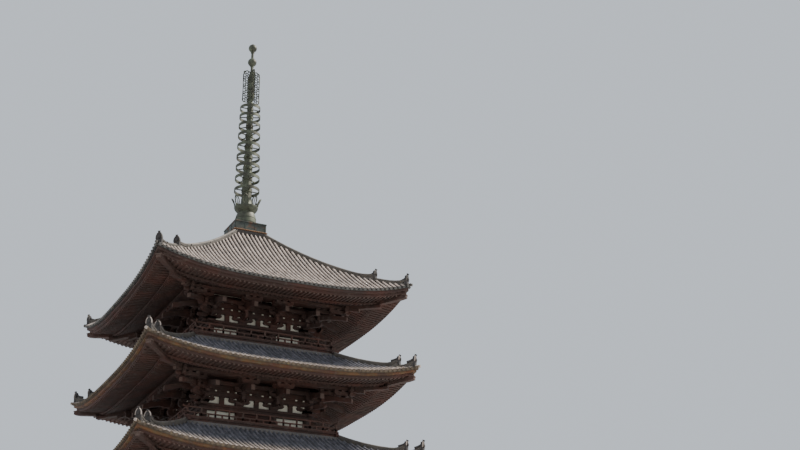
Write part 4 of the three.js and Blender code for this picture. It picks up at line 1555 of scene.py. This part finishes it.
# %% [markdown]
# The bronze spire
#
# From below: a square basin that keeps the rain out of the roof, an upturned bowl, a flower with
# petals of open work, nine rings on a mast, four fins of open work that stand for water, and two
# balls. Turned profiles give the bowls, and a tree sets the petals and spokes round the axis.


# %% The tree that sets pieces round the axis
def round_tree():
    tree = GeometryTree("round_the_axis")
    count, height, turn, size = tree.inputs("count", "height", "first_angle", "size")
    points, number = tree.points(count)
    angle = turn + number * (2 * math.pi / count)
    return tree.finish(tree.copies(tree.place(points, 0, 0, height), angle, tree.vector(size, size, 1)))


around = round_tree()


def repeat_round(name, shape, count, height, turn=0.0, size=1.0):
    grow(name, around, shape, patina_bronze, count=count, height=height, first_angle=turn, size=size)


# %% Basin and bowls
def square_profile(shape, *profile):
    """A profile of [distance out, height] carried round a square."""
    return shape.turned([(out * ROOT, z) for out, z in profile], 4, math.pi / 4)


def rim(shape, radius, z, sides, half, cut, soft):
    """A ring round the axis whose edges are cut back."""
    foot, top = (radius - cut, z - half), (radius - cut, z + half)
    shape.turned([foot, (radius, z - half + soft), (radius, z + half - soft), top], sides)


basin = Shape()
basin_lip = ((1.085, 36.22), (1.085, 36.28), (1.06, 36.3))
square_profile(basin, (1.02, 35.7), (1.05, 35.72), (1.05, 36.2), *basin_lip)
panels = Shape()
for x in (-1.0, -0.34, 0.34, 1.0):
    panels.block((x - 0.03, -1.07, 35.73), (x + 0.03, -1.04, 36.2))
piece_from("rain_basin", basin.join(panels.on_four_sides()), basin_bronze, nodes=["dew_basin"])
ledge = square_profile(Shape(), (1.1, 35.62), (1.14, 35.66), (1.1, 35.7), (1.0, 35.71))
piece_from("basin_ledge", ledge, rusty_bronze)

apron = Shape()
for i in range(4):
    out, z = 1.24 - 0.035 * i, 35.28 + 0.08 * i
    square_profile(apron, (out, z), (out, z + 0.06), (out - 0.06, z + 0.085))
square_profile(apron, (1.14, 35.2), (1.06, 35.62))
piece_from("apron_tiles", apron, pan_clay)

bowls = Shape()
bell = [(0.72, 36.305), (0.72, 36.35), (0.69, 36.37), (0.69, 36.7), (0.67, 36.92), (0.62, 37.12)]
cup = [(0.52, 37.3), (0.58, 37.36), (0.68, 37.45), (0.75, 37.56), (0.785, 37.64), (0.78, 37.7), (0.6, 37.73)]
bowls.turned([*bell, (0.56, 37.26), (0.53, 37.32)], 28)
for z, radius in ((36.55, 0.705), (36.85, 0.69)):
    rim(bowls, radius, z, 28, half=0.025, cut=0.03, soft=0.01)
bowls.turned(cup, 28)
bowls.turned([(0.5, 37.7), (0.42, 37.82), (0.37, 37.95), (0.35, 38.3)], 20)
piece_from("spire_bowls", bowls, patina_bronze, nodes=["lotus_bowls"])


def on_petal(x, z):
    """A place on a petal, which leans out and bends outwards at its tip."""
    return 0.73 + 0.08 * z + 0.55 * z**3, x, z


def petal():
    """One open petal: a rod for its outline, and one for its middle rib."""
    half = [(0.0, 0.0), (0.11, 0.06), (0.16, 0.2), (0.17, 0.38), (0.13, 0.55), (0.0, 0.67)]
    outline = half + [(-x, z) for x, z in reversed(half[1:-1])]
    shape = Shape().tube([on_petal(x, z) for x, z in outline], 0.042, 5, closed=True)
    return shape.tube([on_petal(0, z) for z in (0.0, 0.2, 0.42, 0.6)], 0.026, 5)


repeat_round("lotus_petals", petal(), 8, 37.65, math.pi / 8)

# %% Mast and rings
RING_HEIGHTS = (38.91, 39.78, 40.58, 41.36, 42.14, 42.94, 43.67, 44.36, 45.0)
RING_WIDE, RING_NARROW = 0.84, 0.69
RING_PROFILE = ((1.0, -0.1), (1.0, 0.1), (0.945, 0.1), (0.945, -0.1))

hoop = Shape().skin([[(r * x, r * y, z) for r, z in RING_PROFILE] for x, y in circle(1, 28)], closed=True)
spoke = Shape().block((0.1, -0.035, -0.03), (0.97, 0.035, 0.03))
mast_foot = [(0.34, 38.1), (0.32, 38.8), (0.28, 39.8), (0.25, 41.2)]
mast = Shape().turned([*mast_foot, (0.21, 43.0), (0.17, 45.3), (0.15, 45.6)], 16)
for i, z in enumerate(RING_HEIGHTS):
    size = RING_WIDE + (RING_NARROW - RING_WIDE) * i / (len(RING_HEIGHTS) - 1)
    repeat_round(f"ring_{i + 1}", hoop, 1, z, 0.0, size)
    repeat_round(f"ring_spokes_{i + 1}", spoke, 4, z, i * math.pi / 8, size)
    rim(mast, 0.36 - 0.018 * i, z, 14, half=0.16, cut=0.05, soft=0.04)
piece_from("mast", mast, patina_bronze, nodes=["ring_mast"])

# %% Water fins and balls
FLAME_FOOT, FLAME_TOP = 45.45, 47.93
FIN_ROWS = 8
BALL_SLICES = 10


def fin():
    """One upright fin of open work: a border with rows of curling loops inside."""
    border = [(0.1, 0.02), (0.53, 0.03), (0.58, 0.12), (0.58, 2.1), (0.5, 2.34), (0.34, 2.45), (0.1, 2.4)]
    shape = Shape().tube([(x, 0, FLAME_FOOT + z) for x, z in border], 0.042, 5, closed=True)
    for row in range(FIN_ROWS):
        middle = FLAME_FOOT + 0.22 + row * (FLAME_TOP - FLAME_FOOT - 0.5) / (FIN_ROWS - 1)
        for column, (x, radius) in enumerate(((0.19, 0.08), (0.34, 0.085), (0.49, 0.08))):
            z = middle + (0.07 if (row + column) % 2 else -0.07)
            path = [(x + a, 0, z + 1.45 * b) for a, b in circle(radius, 8)]
            shape.tube(path, 0.03, 4, closed=True)
    return shape


def ball(shape, radius, z):
    angles = [math.pi * (i / BALL_SLICES - 0.5) for i in range(BALL_SLICES + 1)]
    shape.turned([(max(0.03, radius * math.cos(a)), z + radius * math.sin(a)) for a in angles], 20)


repeat_round("water_fins", fin(), 4, 0.0)
stem = Shape().turned([(0.12, 45.46), (0.12, 47.8), (0.09, FLAME_TOP)], 12)
piece_from("flame_stem", stem, patina_bronze, nodes=["water_flame"])

balls = Shape().turned([(0.1, FLAME_TOP), (0.095, 48.3), (0.095, 49.5)], 12)
ball(balls, 0.3, 48.62)
ball(balls, 0.29, 49.73)
balls.turned([(0.12, 49.93), (0.06, 50.03), (0.015, 50.1)], 12)
for z in (48.3, 49.4):
    rim(balls, 0.13, z, 14, half=0.05, cut=0.05, soft=0.02)
piece_from("spire_balls", balls, patina_bronze, nodes=["jewels"])

# %% [markdown]
# Floor and light
#
# The sun in the picture stands high over the tower's right side. A broad lamp takes its place, so the
# tiles catch the light from the side and the deep eaves stay dark, and a pale bluish surround fills
# the shadows.

# %% Floor and light
STAGE_HALF = 60.0
KEY = SimpleNamespace(bearing=80.0, rise=50.0, far=16.0, size=2.6, energy=4600.0, colour=(1.0, 0.95, 0.87))
MIDDLE = Vector((0, 0, 3.2))
SURROUND = (0.72, 0.78, 0.86, 1.0)
SURROUND_STRENGTH = 0.93

floor = in_scene("floor", bpy.data.meshes.new("floor"))
corners = rectangle(-STAGE_HALF, STAGE_HALF, -STAGE_HALF, STAGE_HALF)
floor.data.from_pydata([(x, y, 0) for x, y in corners], [], [(0, 1, 2, 3)])
floor.data.materials.append(Finish("pale_floor").paint((0.62, 0.62, 0.62, 1.0), 0.9))
floor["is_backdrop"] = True

bearing, rise = math.radians(KEY.bearing), math.radians(KEY.rise)
toward = Vector((math.sin(bearing) * math.cos(rise), -math.cos(bearing) * math.cos(rise), math.sin(rise)))
key = in_scene("key", bpy.data.lights.new("key", "AREA"))
key.data.energy = KEY.energy
key.data.size = KEY.size
key.data.color = KEY.colour
facing = toward.to_track_quat("Z", "Y").to_matrix().to_4x4()
key.matrix_world = Matrix.Translation(MIDDLE + toward * KEY.far) @ facing

world = bpy.data.worlds.new("surround")
world.use_nodes = True
background = world.node_tree.nodes["Background"]
background.inputs["Color"].default_value = SURROUND
background.inputs["Strength"].default_value = SURROUND_STRENGTH
bpy.context.scene.world = world
print("key light at", [round(v, 2) for v in key.location])

# %% [markdown]
# Done
#
# The sizes with and without the dressing are set side by side, and the triangles are counted.


# %% Sizes and the triangle count
def plain(bounds):
    return [list(corner) for corner in bounds]


{"cad": plain(cad_box), "dressed": plain(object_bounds())}
print("triangles:", sum(triangle_counts))
